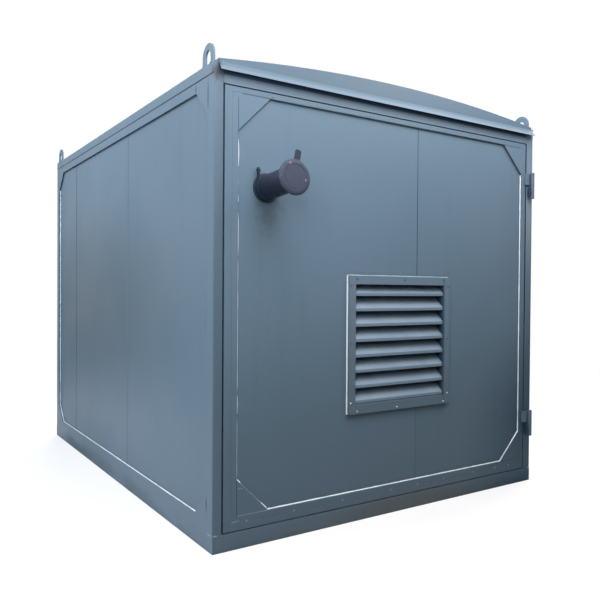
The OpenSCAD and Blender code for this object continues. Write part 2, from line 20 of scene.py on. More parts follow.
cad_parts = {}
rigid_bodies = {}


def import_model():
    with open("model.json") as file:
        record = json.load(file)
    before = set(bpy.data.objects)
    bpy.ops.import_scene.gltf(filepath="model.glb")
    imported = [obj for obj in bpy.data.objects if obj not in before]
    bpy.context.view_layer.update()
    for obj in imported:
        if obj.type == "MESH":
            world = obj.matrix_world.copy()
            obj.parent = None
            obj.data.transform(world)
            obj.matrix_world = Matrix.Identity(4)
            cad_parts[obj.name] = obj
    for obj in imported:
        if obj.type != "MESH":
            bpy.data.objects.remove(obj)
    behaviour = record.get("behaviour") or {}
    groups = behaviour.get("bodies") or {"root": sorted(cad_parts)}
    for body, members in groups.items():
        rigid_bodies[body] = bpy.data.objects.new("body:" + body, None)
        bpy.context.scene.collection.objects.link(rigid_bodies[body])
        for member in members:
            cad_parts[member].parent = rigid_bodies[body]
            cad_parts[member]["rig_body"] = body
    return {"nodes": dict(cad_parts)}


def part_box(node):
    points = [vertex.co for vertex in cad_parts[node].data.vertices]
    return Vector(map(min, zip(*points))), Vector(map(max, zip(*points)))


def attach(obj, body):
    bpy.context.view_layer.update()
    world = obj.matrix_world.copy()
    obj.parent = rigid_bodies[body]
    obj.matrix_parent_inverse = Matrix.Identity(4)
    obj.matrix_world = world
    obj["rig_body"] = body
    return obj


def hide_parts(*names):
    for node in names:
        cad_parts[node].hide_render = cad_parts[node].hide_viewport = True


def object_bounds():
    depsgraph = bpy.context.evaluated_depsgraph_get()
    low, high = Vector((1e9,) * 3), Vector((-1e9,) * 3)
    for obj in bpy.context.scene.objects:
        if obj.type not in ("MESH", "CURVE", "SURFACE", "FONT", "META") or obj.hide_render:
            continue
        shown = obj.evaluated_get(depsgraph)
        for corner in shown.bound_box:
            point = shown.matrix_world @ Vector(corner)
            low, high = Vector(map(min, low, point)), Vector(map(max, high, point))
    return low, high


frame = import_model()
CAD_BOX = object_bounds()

Array = np.ndarray
Socket = bpy.types.NodeSocket
Colour = tuple[float, float, float]
Point = tuple[float, float, float]
Value = float | tuple | Socket
Line = Array | list[tuple[float, float]]
Planes = tuple[tuple[int, float], ...]

LOG = logging.getLogger("container")
WHITE = (1.0, 1.0, 1.0)
CORNERS = ("front_left", "front_right", "rear_left", "rear_right")
MERGE = 1e-6  # corners of a new shell that are closer than this are one
NODE_MERGE = 1e-5  # the same for a CAD node's corners
NEAR = 1e-4  # places of a CAD node that are closer than this are the same
SKIN = 3e-4  # depth within which a corner belongs to a sheet's face
BURIED = 0.0004  # how deep a new shell's foot lies in what it stands on
FLAT_TURN = math.radians(0.4)  # an edge that turns less than this is part of a flat face
SHARP_TURN = math.radians(32)  # an edge that turns more than this is sharp
PARALLEL = 0.999  # cosine between an edge and an axis from which the edge runs along it


class Body(Enum):
    """The bodies that pieces ride on."""

    HOUSING = "container"
    DOOR = "front_door"
    FLAP = "exhaust_rain_flap"


class Slot(Enum):
    """The record's material slots."""

    FRAME = "frame_paint"
    SHEET = "sheet_paint"
    LINING = "lining"
    FLOOR = "floor_steel"
    EXHAUST = "exhaust_black"
    FLAP = "flap_grey"


class Folds(Enum):
    """Which edges of a member are folded: all sharp ones, or those that run along one axis."""

    ALL = None
    ALONG_X = (1.0, 0.0, 0.0)
    ALONG_Y = (0.0, 1.0, 0.0)
    ALONG_Z = (0.0, 0.0, 1.0)


# ---------------------------------------------------------------- shapes as arrays


@dataclass
class Shell:
    """A closed surface held as whole arrays.

    Args:
        points: the corners, one row each.
        faces: blocks of faces, each block with the same number of corners in every row.
    """

    points: Array
    faces: list[Array]

    def rows(self) -> list[list[int]]:
        """Every face as a plain list of corner numbers."""
        return [row for block in self.faces for row in block.tolist()]

    def at_each(self, places: Array) -> "Shell":
        """The same shell once at each place: point = place + own point.

        Args:
            places: one row for each copy.

        Returns:
            One shell with all the copies.
        """
        count = len(self.points)
        points = (np.asarray(places, float)[:, None, :] + self.points[None]).reshape(-1, 3)
        steps = (np.arange(len(places)) * count)[:, None, None]
        return Shell(points, [(block[None] + steps).reshape(-1, block.shape[1]) for block in self.faces])

    def moved(self, by: Array) -> "Shell":
        """The same shell moved: point = own point + by."""
        return Shell(self.points + by, self.faces)

    @staticmethod
    def together(shells: list["Shell"]) -> "Shell":
        """Several shells as one, each block of faces moved on by the points before it."""
        starts = np.cumsum([0] + [len(s.points) for s in shells[:-1]])
        points = np.concatenate([s.points for s in shells])
        return Shell(points, [block + start for s, start in zip(shells, starts) for block in s.faces])


def placed(x: Array | float, y: Array | float, z: Array | float) -> Array:
    """Points from their coordinates, one row each. A coordinate given once holds for every point."""
    return np.stack(np.broadcast_arrays(x, y, z), 1)


def quads(rows: int, columns: int, rows_close: bool = False, columns_close: bool = True) -> Array:
    """Four-cornered faces between neighbours of a grid whose points are numbered row by row.

    Args:
        rows: points along the first parameter.
        columns: points along the second parameter.
        rows_close: whether the last row joins the first.
        columns_close: whether the last column joins the first.

    Returns:
        One face in each row of the array.
    """
    r, c = np.meshgrid(
        np.arange(rows if rows_close else rows - 1), np.arange(columns if columns_close else columns - 1), indexing="ij"
    )
    below, beside = (r + 1) % rows, (c + 1) % columns
    corners = [r * columns + c, r * columns + beside, below * columns + beside, below * columns + c]
    return np.stack(corners, -1).reshape(-1, 4)


def carried(profile: Array, path: Array, across: Array, up: Array, ring: bool = False) -> Shell:
    """A closed profile carried along a path: point = path + u * across + v * up.

    Args:
        profile: (u, v) pairs round the profile, or one such set for each point of the path.
        path: points along the path.
        across: direction of u at each point of the path.
        up: direction of v, the same all along or one for each point.
        ring: whether the path closes on itself. Otherwise both ends get a cap.

    Returns:
        The closed shell.
    """
    rows, columns = len(path), profile.shape[-2]
    profile = np.broadcast_to(profile, (rows, columns, 2))
    up = np.broadcast_to(up, (rows, 3))
    points = path[:, None, :] + profile[..., :1] * across[:, None, :] + profile[..., 1:] * up[:, None, :]
    faces = [quads(rows, columns, rows_close=ring)]
    if not ring:
        cap = np.arange(columns)[None, :]
        faces += [cap[:, ::-1], cap + (rows - 1) * columns]
    return Shell(points.reshape(-1, 3), faces)


def turned(profile: Array, centre: Point, axis: Point = (0, 0, 1), steps: int = 24, closed: bool = False) -> Shell:
    """A profile turned about an axis: point = centre + r cos(t) side + r sin(t) other + h axis.

    Args:
        profile: (r, h) pairs. An end at r = 0 closes into a pole.
        centre: the point of the axis where h is 0.
        axis: the direction of h.
        steps: how many turns of the profile there are.
        closed: whether the profile itself is a ring, as for a washer.

    Returns:
        The shell, closed once its doubles are merged.
    """
    axis = np.asarray(axis, float) / np.linalg.norm(axis)
    side = np.cross(axis, (0.0, 0.0, 1.0) if abs(axis[2]) < 0.9 else (1.0, 0.0, 0.0))
    side /= np.linalg.norm(side)
    other = np.cross(axis, side)
    t = np.linspace(0, math.tau, steps, endpoint=False)
    spoke = np.cos(t)[:, None] * side + np.sin(t)[:, None] * other
    points = np.asarray(centre, float) + profile[None, :, :1] * spoke[:, None, :] + profile[None, :, 1:] * axis
    return Shell(points.reshape(-1, 3), [quads(steps, len(profile), rows_close=True, columns_close=closed)])


def dome(radius: float, height: float, rings: int = 4, edge: float = 0.0) -> Array:
    """Profile of a round head: r = R cos(t), h = edge + H sin(t), down to a straight edge and a flat back.

    Args:
        radius: of the head's rim.
        height: of the rounded part.
        rings: steps from rim to crown.
        edge: height of the straight rim.

    Returns:
        (r, h) pairs from crown to the middle of the back.
    """
    t = np.linspace(math.pi / 2, 0, rings)
    crown = np.stack([radius * np.cos(t), edge + height * np.sin(t)], 1)
    return np.concatenate([crown, [[radius, -BURIED], [0, -BURIED]]])


def mitred(corners: Line, step: float, ring: bool = False) -> tuple[Array, Array, Array]:
    """Walks straight runs between flat corners, with the left-hand side mitred where two runs meet.

    At a corner the side is (n1 + n2) / (1 + n1 . n2), so an offset along it keeps its distance from both runs.

    Args:
        corners: flat points, in order.
        step: distance between points on a run.
        ring: whether the last corner runs back to the first.

    Returns:
        Points, sides and distance walked, one row each.
    """
    corners = np.asarray(corners, float)
    closed = np.vstack([corners, corners[:1]]) if ring else corners
    runs = np.diff(closed, axis=0)
    lengths = np.linalg.norm(runs, axis=1)
    reach = np.concatenate([[0], np.cumsum(lengths)])
    inner = np.arange(step, reach[-1], step)
    inner = inner[np.abs(inner[:, None] - reach).min(1) > step / 4]
    walked = np.sort(np.concatenate([reach, inner]))
    if ring:
        walked = walked[:-1]
    path = np.stack([np.interp(walked, reach, closed[:, i]) for i in (0, 1)], 1)
    left = np.stack([-runs[:, 1], runs[:, 0]], 1) / lengths[:, None]
    before = np.searchsorted(reach, walked, "left") - 1
    before = before % len(runs) if ring else np.clip(before, 0, len(runs) - 1)
    after = np.clip(np.searchsorted(reach, walked, "right") - 1, 0, len(runs) - 1)
    both = left[before] + left[after]
    return path, both / ((both**2).sum(1, keepdims=True) / 2), walked


def wander(walked: Array, seed: int, wave: float = 0.11) -> Array:
    """A hand's unsteadiness: a sum of five sines of the distance walked, about -1 to 1, fixed by its seed."""
    draw = np.random.default_rng(seed)
    pace = math.tau / (wave * draw.uniform(0.4, 2.6, 5))
    start = draw.uniform(0, math.tau, 5)
    return np.sin(walked[:, None] * pace + start).sum(1) / 3


@dataclass(frozen=True)
class Wall:
    """A flat face that pieces lie on, with its own two directions and the one that points away from it."""

    origin: Point
    along: Point
    up: Point
    out: Point

    def lift(self, flat: Array, height: float = 0.0) -> Array:
        """Flat points in space: origin + a * along + b * up + height * out."""
        flat = np.asarray(flat, float)
        base = np.asarray(self.origin) + height * np.asarray(self.out, float)
        return base + flat[:, :1] * np.asarray(self.along) + flat[:, 1:] * np.asarray(self.up)

    def turn(self, flat: Array) -> Array:
        """Flat directions in space."""
        return flat[:, :1] * np.asarray(self.along) + flat[:, 1:] * np.asarray(self.up)

    def bead(
        self, corners: Line, foot: float, rise: float, seed: int, shake: float = 0.12, fade: float = 0.0
    ) -> Shell:
        """A bead of sealant in the corner between this face and an edge that stands on it.

        Its section is a hollow fillet: foot on the face, rise up the edge, and a curve between them.

        Args:
            corners: the edge's foot, walked with the open side on the left.
            foot: width on the face.
            rise: height on the edge.
            seed: for the hand's unsteadiness.
            shake: share by which the size wanders.
            fade: share of the size that is lost towards both ends.

        Returns:
            The closed bead.
        """
        path, side, walked = mitred(corners, 0.012)
        t = np.linspace(0, 1, 6)[:, None]
        curve = (1 - t) ** 2 * [foot, 0] + 2 * t * (1 - t) * [foot * 0.32, rise * 0.32] + t**2 * [0, rise]
        section = np.concatenate([[[-BURIED, -BURIED], [foot, -BURIED]], curve, [[-BURIED, rise]]])
        ends = np.clip(np.minimum(walked, walked[-1] - walked) / 0.05, 0, 1)
        size = (1 + shake * wander(walked, seed)) * (1 - fade * (1 - ends))
        return carried(size[:, None, None] * section, self.lift(path), self.turn(side), np.asarray(self.out, float))

    def ripples(self, start: tuple[float, float], end: tuple[float, float], width: float, height: float) -> Shell:
        """A run of weld on this face: a half-round section whose size swells at every ripple and dies away at the ends.

        Args:
            start: where the run starts, in the face's own directions.
            end: where it ends.
            width: across the run.
            height: of its crown.

        Returns:
            The closed run.
        """
        pitch = width * 0.45
        path, side, walked = mitred([start, end], pitch / 4)
        t = np.linspace(0, math.pi, 7)
        section = np.stack([width / 2 * np.cos(t), height * np.sin(t)], 1)
        section = np.concatenate([section, [[-width / 2, -BURIED], [width / 2, -BURIED]]])
        whole = walked[-1]
        ends = np.sqrt(np.clip(1 - np.abs(2 * walked / whole - 1) ** 9, 0.04, 1))
        size = ends * (1 + 0.16 * np.cos(math.tau * walked / pitch)) * (1 + 0.12 * wander(walked, 7, 0.05))
        return carried(size[:, None, None] * section, self.lift(path), self.turn(side), np.asarray(self.out, float))

    def strip(self, corners: Line, width: float, height: float, ring: bool = False, step: float = 0.2) -> Shell:
        """A flat strip with eased edges along a line on this face.

        Args:
            corners: the strip's middle line.
            width: across the strip.
            height: its thickness.
            ring: whether the line closes on itself.
            step: distance between points on a run.

        Returns:
            The closed strip.
        """
        path, side, _ = mitred(corners, step, ring)
        half, ease = width / 2, min(height, width / 2) * 0.45
        shoulder, crown = height - ease, half - ease
        section = np.array(
            [[-half, -BURIED], [half, -BURIED], [half, shoulder], [crown, height], [-crown, height], [-half, shoulder]]
        )
        return carried(section, self.lift(path), self.turn(side), np.asarray(self.out, float), ring)


def facing(y: float, out: int) -> Wall:
    """The upright face at one Y that looks forwards, with out -1, or backwards, with out 1."""
    return Wall((0, y, 0), (1, 0, 0), (0, 0, 1), (0, out, 0))


def upright(place: float, start: float, end: float) -> Array:
    """An upright line on a face, from one height to another."""
    return np.array([(place, start), (place, end)])


def octagon(low: tuple[float, float], high: tuple[float, float], cut: float) -> Array:
    """A rectangle with its corners cut off, from the lower left cut round by the right, counted from its foot."""
    (a, b), (c, d) = low, high
    return np.array(
        [(a + cut, b), (c - cut, b), (c, b + cut), (c, d - cut), (c - cut, d), (a + cut, d), (a, d - cut), (a, b + cut)]
    )


# ---------------------------------------------------------------- shader wiring


class Bench:
    """One node tree being wired. Most methods add a node and hand back what it puts out."""

    def __init__(self, tree: bpy.types.NodeTree) -> None:
        """Keeps the tree that nodes are added to."""
        self.tree = tree

    def fill(self, socket: Socket, value: Value) -> None:
        """Links an output to the socket, or writes a plain number or colour on it."""
        if isinstance(value, bpy.types.NodeSocket):
            self.tree.links.new(value, socket)
        elif isinstance(value, tuple) and socket.type == "RGBA":
            socket.default_value = (*value, 1.0)
        else:
            socket.default_value = value

    def feed(self, node: bpy.types.Node, values: dict[int | str, Value]) -> None:
        """Fills a node's inputs, by name or number."""
        for key, value in values.items():
            self.fill(node.inputs[key], value)

    def node(self, kind: str, values: dict[int | str, Value] | None = None, **choices: object) -> bpy.types.Node:
        """Adds a node.

        Args:
            kind: Blender's name of the node.
            values: what goes into its inputs, by name or number.
            **choices: its settings.

        Returns:
            The node.
        """
        made = self.tree.nodes.new(kind)
        for name, choice in choices.items():
            setattr(made, name, choice)
        self.feed(made, values or {})
        return made

    def point(self, stretch: Point | None = None) -> Socket:
        """The surface point in the object's own coordinates, stretched if asked."""
        place = self.node("ShaderNodeTexCoord").outputs["Object"]
        if stretch is None:
            return place
        return self.vector("MULTIPLY", place, stretch).outputs[0]

    def vector(self, operation: str, *values: Value) -> bpy.types.Node:
        """One step of vector arithmetic."""
        return self.node("ShaderNodeVectorMath", dict(enumerate(values)), operation=operation)

    def axis(self, place: Value, letter: str) -> Socket:
        """One coordinate of a point or direction."""
        return self.node("ShaderNodeSeparateXYZ", {0: place}).outputs[letter]

    def math(self, operation: str, *values: Value, clamp: bool = False) -> Socket:
        """One step of arithmetic."""
        return self.node("ShaderNodeMath", dict(enumerate(values)), operation=operation, use_clamp=clamp).outputs[0]

    def times(self, *values: Value) -> Socket:
        """The product of two or more values."""
        result = values[0]
        for value in values[1:]:
            result = self.math("MULTIPLY", result, value)
        return result

    def remap(self, value: Value, start: Value, end: Value, low: float = 0.0, high: float = 1.0) -> Socket:
        """Goes smoothly from low to high as the value goes from start to end, and stays there beyond them."""
        node = self.node("ShaderNodeMapRange", {1: start, 2: end, 3: low, 4: high}, interpolation_type="SMOOTHSTEP")
        self.fill(node.inputs[0], value)
        return node.outputs[0]

    def noise(self, at: Socket, scale: Value, detail: float = 2.0, roughness: float = 0.5) -> Socket:
        """Soft cloudy noise, about 0.3 to 0.7."""
        values = {"Vector": at, "Scale": scale, "Detail": detail, "Roughness": roughness}
        return self.node("ShaderNodeTexNoise", values).outputs[0]

    def blend(self, mask: Value, low: Value, high: Value) -> Socket:
        """The colour low where the mask is 0, high where it is 1."""
        return self.node("ShaderNodeMix", {0: mask, 6: low, 7: high}, data_type="RGBA").outputs[2]

    def cover(self, colour: Value, mask: Value, share: Value, over: Value) -> Socket:
        """A colour with another laid over it where the mask is, as thickly as the share says."""
        return self.blend(self.times(mask, share), colour, over)

    def shade(self, colour: Value, by: Value) -> Socket:
        """A colour made lighter or darker by a factor."""
        return self.node("ShaderNodeVectorMath", {0: colour, "Scale": by}, operation="SCALE").outputs[0]

    def bump(self, height: Value) -> Socket:
        """The normal of a surface raised by a height in metres."""
        return self.node("ShaderNodeBump", {"Height": height, "Distance": 1.0, "Strength": 1.0}).outputs[0]


class Effect:
    """A shader group that several finishes share: built on first use, then placed with each finish's own values."""

    title: ClassVar[str] = ""
    takes: ClassVar[dict[str, Value]] = {}
    gives: ClassVar[tuple[str, ...]] = ("Mask",)

    @classmethod
    def wire(cls, bench: Bench, given: dict[str, Socket]) -> tuple[Socket, ...]:
        """Wires the group from its inputs to its outputs."""
        raise NotImplementedError

    @classmethod
    def tree(cls) -> bpy.types.NodeTree:
        """The group's tree, built if it isn't there yet."""
        found = bpy.data.node_groups.get(cls.title)
        if found is not None:
            return found
        tree = bpy.data.node_groups.new(cls.title, "ShaderNodeTree")
        for name, value in cls.takes.items():
            kind = "NodeSocketVector" if isinstance(value, tuple) else "NodeSocketFloat"
            tree.interface.new_socket(name, in_out="INPUT", socket_type=kind).default_value = value
        for name in cls.gives:
            tree.interface.new_socket(name, in_out="OUTPUT", socket_type="NodeSocketFloat")
        bench = Bench(tree)
        entry, end = bench.node("NodeGroupInput"), bench.node("NodeGroupOutput")
        for name, result in zip(cls.gives, cls.wire(bench, {name: entry.outputs[name] for name in cls.takes})):
            tree.links.new(result, end.inputs[name])
        return tree

    @classmethod
    def place(cls, bench: Bench, **values: Value) -> dict[str, Socket]:
        """Puts the group into a material.

        Args:
            bench: the material's tree.
            **values: the group's inputs that differ from their usual value.

        Returns:
            The group's outputs by name.
        """
        node = bench.node("ShaderNodeGroup", node_tree=cls.tree())
        bench.feed(node, values)
        return {name: node.outputs[name] for name in cls.gives}


class UnevenTone(Effect):
    """Broad soft patches and a fine grain, as sprayed paint and rolled sheet have."""

    title = "uneven tone"
    takes = {"Scale": 0.9}
    gives = ("Patch", "Grain")

    @classmethod
    def wire(cls, bench: Bench, given: dict[str, Socket]) -> tuple[Socket, ...]:
        """Patch is slow noise with its contrast raised, Grain is quick noise."""
        patch = bench.remap(bench.noise(bench.point(), given["Scale"], 3.0, 0.55), 0.33, 0.67)
        return patch, bench.noise(bench.point(), 120.0, 3.0, 0.6)


class FilmHeight(Effect):
    """Height of a paint film: orange peel over the slow waves of thin sheet."""

    title = "film height"
    takes = {"Peel": 0.00001, "Wave": 0.0004}
    gives = ("Height",)

    @classmethod
    def wire(cls, bench: Bench, given: dict[str, Socket]) -> tuple[Socket, ...]:
        """Height is Peel times fine noise plus Wave times slow noise."""
        peel = bench.times(bench.noise(bench.point(), 260.0, 1.0), given["Peel"])
        wave = bench.times(bench.noise(bench.point((1.0, 1.0, 0.55)), 2.2, 1.0), given["Wave"])
        return (bench.math("ADD", peel, wave),)


class WornEdgesAndHighlight(Effect):
    """Where paint thins on folded edges, and where the edges carry a painted highlight: a widely rounded normal leans
    away from the true one there.
    """

    title = "worn edges and highlight"
    takes = {"Radius": 0.005, "Breakup": 0.5}

    @classmethod
    def wire(cls, bench: Bench, given: dict[str, Socket]) -> tuple[Socket, ...]:
        """Mask is how far the two normals lean apart, broken up by noise."""
        soft = bench.node("ShaderNodeBevel", {"Radius": given["Radius"]}, samples=4).outputs[0]
        true = bench.node("ShaderNodeNewGeometry").outputs["True Normal"]
        alike = bench.vector("DOT_PRODUCT", soft, true).outputs["Value"]
        lean = bench.remap(alike, 0.99, 0.75)
        whole = bench.math("ADD", given["Breakup"], 0.14)
        broken = bench.remap(bench.noise(bench.point(), 28.0, 4.0, 0.65), given["Breakup"], whole, 0.25, 1.0)
        return (bench.times(lean, broken),)


class CreviceDirtAndShade(Effect):
    """Dirt and painted shade in corners, where little of the open air is in sight."""

    title = "crevice dirt and shade"
    takes = {"Reach": 0.03}

    @classmethod
    def wire(cls, bench: Bench, given: dict[str, Socket]) -> tuple[Socket, ...]:
        """Mask is the covered share of the sky nearby, made uneven by noise."""
        open_air = bench.node("ShaderNodeAmbientOcclusion", {"Distance": given["Reach"]}, samples=4).outputs["AO"]
        uneven = bench.remap(bench.noise(bench.point(), 16.0, 3.0), 0.32, 0.62, 0.45, 1.0)
        return (bench.times(bench.remap(open_air, 0.92, 0.35), uneven),)


class SettledDust(Effect):
    """Dust on faces that look up, and mud splashed above the ground."""

    title = "settled dust"
    takes = {"Splash": 0.12}
    gives = ("Dust", "Mud")

    @classmethod
    def wire(cls, bench: Bench, given: dict[str, Socket]) -> tuple[Socket, ...]:
        """Dust follows the upward part of the normal, Mud falls off with height, both times noise."""
        coordinates = bench.node("ShaderNodeTexCoord")
        lean = bench.axis(coordinates.outputs["Normal"], "Z")
        height = bench.axis(coordinates.outputs["Object"], "Z")
        uneven = bench.remap(bench.noise(bench.point(), 7.0, 5.0, 0.65), 0.34, 0.66, 0.25, 1.0)
        patches = bench.remap(bench.noise(bench.point((1.0, 1.0, 3.0)), 1.7, 4.0, 0.6), 0.42, 0.6)
        dust = bench.times(bench.remap(lean, 0.35, 0.95), uneven)
        return dust, bench.times(bench.remap(height, given["Splash"], 0.0), patches)


class LowShade(Effect):
    """Painted shade that darkens a wall towards its foot."""

    title = "low shade"
    takes = {"Start": 1.35, "End": 0.35}

    @classmethod
    def wire(cls, bench: Bench, given: dict[str, Socket]) -> tuple[Socket, ...]:
        """Mask rises from 0 at Start to 1 at End, its edge made uneven by slow noise."""
        height = bench.axis(bench.point(), "Z")
        uneven = bench.times(bench.math("SUBTRACT", bench.noise(bench.point(), 1.1, 3.0), 0.5), 0.5)
        return (bench.remap(bench.math("ADD", height, uneven), given["Start"], given["End"]),)


class RainRuns(Effect):
    """Faint upright runs that rain leaves on a wall."""

    title = "rain runs"
    takes = {"Width": 14.0}

    @classmethod
    def wire(cls, bench: Bench, given: dict[str, Socket]) -> tuple[Socket, ...]:
        """Mask is noise drawn out along Z, kept in patches by slower noise."""
        drawn = bench.noise(bench.point((1.0, 1.0, 0.05)), given["Width"], 3.0, 0.6)
        patches = bench.remap(bench.noise(bench.point(), 1.3, 2.0), 0.42, 0.62)
        return (bench.times(bench.remap(drawn, 0.5, 0.72), patches),)


class Specks(Effect):
    """Small chips and spots, far apart."""

    title = "specks"
    takes = {"Scale": 26.0, "Share": 0.05}

    @classmethod
    def wire(cls, bench: Bench, given: dict[str, Socket]) -> tuple[Socket, ...]:
        """Mask is a small disc in the share of cells whose own random number is high."""
        cells = bench.node("ShaderNodeTexVoronoi", {"Vector": bench.point(), "Scale": given["Scale"]})
        chance = bench.node("ShaderNodeSeparateColor", {0: cells.outputs["Color"]}).outputs[0]
        chosen = bench.math("GREATER_THAN", chance, bench.math("SUBTRACT", 1.0, given["Share"]))
        return (bench.times(bench.remap(cells.outputs["Distance"], 0.16, 0.07), chosen),)


class StainSpot(Effect):
    """One soft and ragged mark round a place, used for stains and for painted light and shade."""

    title = "stain spot"
    takes = {"Place": (0.0, 0.0, 0.0), "Reach": (0.1, 0.1, 0.1), "Ragged": 0.5}

    @classmethod
    def wire(cls, bench: Bench, given: dict[str, Socket]) -> tuple[Socket, ...]:
        """Mask falls from the place to its reach, with the distance disturbed by noise."""
        away = bench.vector("SUBTRACT", bench.point(), given["Place"]).outputs[0]
        share = bench.vector("DIVIDE", away, given["Reach"]).outputs[0]
        distance = bench.vector("LENGTH", share).outputs["Value"]
        grain = bench.math("SUBTRACT", bench.noise(bench.point(), 38.0, 4.0, 0.65), 0.5)
        ragged = bench.times(grain, given["Ragged"], 4.0)
        return (bench.remap(bench.math("ADD", distance, ragged), 1.0, 0.1),)


# ---------------------------------------------------------------- finishes


@dataclass(frozen=True)
class Stain:
    """A mark at one place of a painted surface, used for stains and for painted light and shade."""

    place: Point
    reach: Point
    colour: Colour
    strength: float
    ragged: float = 0.5


@dataclass(frozen=True)
class Finish:
    """A finish with its name and the record's slot that it belongs to, if it has one."""

    name: str
    slot: Slot | None

    def material(self) -> bpy.types.Material:
        """The finish's material, made on first use."""
        made = bpy.data.materials.get(self.name)
        if made is None:
            made = bpy.data.materials.new(self.name)
            made.use_nodes = True
            made.node_tree.nodes.clear()
            bench = Bench(made.node_tree)
            surface = bench.node("ShaderNodeBsdfPrincipled")
            bench.node("ShaderNodeOutputMaterial", {"Surface": surface.outputs[0]})
            bench.feed(surface, self.coat(bench))
        return made

    def coat(self, bench: Bench) -> dict[str, Value]:
        """Wires the finish.

        Args:
            bench: the material's tree.

        Returns:
            What the surface shader's inputs take, by name.
        """
        raise NotImplementedError


@dataclass(frozen=True)
class Paint(Finish):
    """A weathered coat of satin paint on steel.

    Args:
        colour: the paint.
        drift: what it drifts to in broad patches.
        worn: thin, chalky paint along edges and on chips, also a painted highlight on the edges.
        grime: dirt in corners and runs, also painted shade in the corners.
        mud: splashed dirt near the ground.
        low_shade: painted shade on the lower part of a wall.
        dusty: settled dust.
        roughness: of clean paint.
        gloss: how strongly it shines, 0.5 being usual.
        wear, dirt, runs, dust, splash, film, chips, pitting: how much of each shows; film is painted shade low down,
        wear also paints highlight on edges and dirt paints shade in corners too.
        wave: depth of the sheet's slow waves.
        chip_depth: depth of a chip or pit.
        stains: single stains, and single spots of painted light and shade.
    """

    colour: Colour = (0.094, 0.143, 0.190)
    drift: Colour = (0.086, 0.137, 0.180)
    worn: Colour = (0.20, 0.26, 0.32)
    grime: Colour = (0.030, 0.042, 0.052)
    mud: Colour = (0.115, 0.105, 0.085)
    low_shade: Colour = (0.030, 0.052, 0.056)
    dusty: Colour = (0.17, 0.18, 0.18)
    roughness: float = 0.44
    gloss: float = 0.24
    wear: float = 0.18
    dirt: float = 0.55
    runs: float = 0.06
    dust: float = 0.25
    splash: float = 0.3
    film: float = 0.0
    chips: float = 0.14
    pitting: float = 0.2
    wave: float = 0.0010
    chip_depth: float = 0.00004
    stains: tuple[Stain, ...] = ()

    def coat(self, bench: Bench) -> dict[str, Value]:
        """Colour is patches, then painted shade low down, edge wear with painted highlight, dirt with painted shade in
        corners, runs, dust, mud, specks and stains, laid on in turn.
        """
        tone = UnevenTone.place(bench)
        edges = WornEdgesAndHighlight.place(bench)["Mask"]
        crevice = CreviceDirtAndShade.place(bench)["Mask"]
        runs = RainRuns.place(bench)["Mask"]
        settled = SettledDust.place(bench)
        specks = Specks.place(bench)["Mask"]
        pits = Specks.place(bench, Scale=41.0, Share=0.03)["Mask"]
        colour = bench.blend(tone["Patch"], self.colour, self.drift)
        colour = bench.shade(colour, bench.remap(tone["Grain"], 0.3, 0.7, 0.985, 1.015))
        # film lays painted shade that deepens towards the foot of a wall
        if self.film:
            low = LowShade.place(bench)["Mask"]
            colour = bench.cover(colour, low, self.film, self.low_shade)
        for mask, strength, over in (
            (edges, self.wear, self.worn),
            (crevice, self.dirt, self.grime),
            (runs, self.runs, self.grime),
            (settled["Dust"], self.dust, self.dusty),
            (settled["Mud"], self.splash, self.mud),
            (specks, self.chips, self.worn),
            (pits, self.pitting, self.grime),
        ):
            colour = bench.cover(colour, mask, strength, over)
        for stain in self.stains:
            spot = StainSpot.place(bench, Place=stain.place, Reach=stain.reach, Ragged=stain.ragged)["Mask"]
            colour = bench.cover(colour, spot, stain.strength, stain.colour)
        dull = bench.math("ADD", bench.times(settled["Dust"], 0.3), bench.times(settled["Mud"], 0.3))
        dull = bench.math("ADD", dull, bench.times(crevice, 0.15))
        clean = bench.remap(tone["Patch"], 0.0, 1.0, self.roughness - 0.03, self.roughness + 0.03)
        rough = bench.math("ADD", dull, clean)
        height = FilmHeight.place(bench, Wave=self.wave)["Height"]
        height = bench.math("SUBTRACT", height, bench.times(bench.math("ADD", specks, pits), self.chip_depth))
        return {
            "Base Color": colour,
            "Roughness": rough,
            "Specular IOR Level": self.gloss,
            "Normal": bench.bump(height),
        }


@dataclass(frozen=True)
class Lining(Finish):
    """Pale coated sheet on the inside, with scuffs and a little dirt."""

    colour: Colour = (0.47, 0.49, 0.49)
    drift: Colour = (0.43, 0.45, 0.44)
    scuff: Colour = (0.26, 0.27, 0.27)

    def coat(self, bench: Bench) -> dict[str, Value]:
        """Colour is patches with scuffs drawn sideways and dirt with painted shade in the corners."""
        tone = UnevenTone.place(bench, Scale=1.6)
        crevice = CreviceDirtAndShade.place(bench, Reach=0.08)["Mask"]
        scuffs = bench.remap(bench.noise(bench.point((0.6, 0.6, 9.0)), 9.0, 4.0, 0.7), 0.6, 0.72)
        colour = bench.cover(self.colour, tone["Patch"], 0.5, self.drift)
        colour = bench.cover(colour, scuffs, 0.3, self.scuff)
        colour = bench.cover(colour, crevice, 0.45, self.scuff)
        return {
            "Base Color": colour,
            "Roughness": bench.remap(scuffs, 0, 1, 0.38, 0.55),
            "Normal": bench.bump(FilmHeight.place(bench, Peel=0.00002, Wave=0.0006)["Height"]),
        }


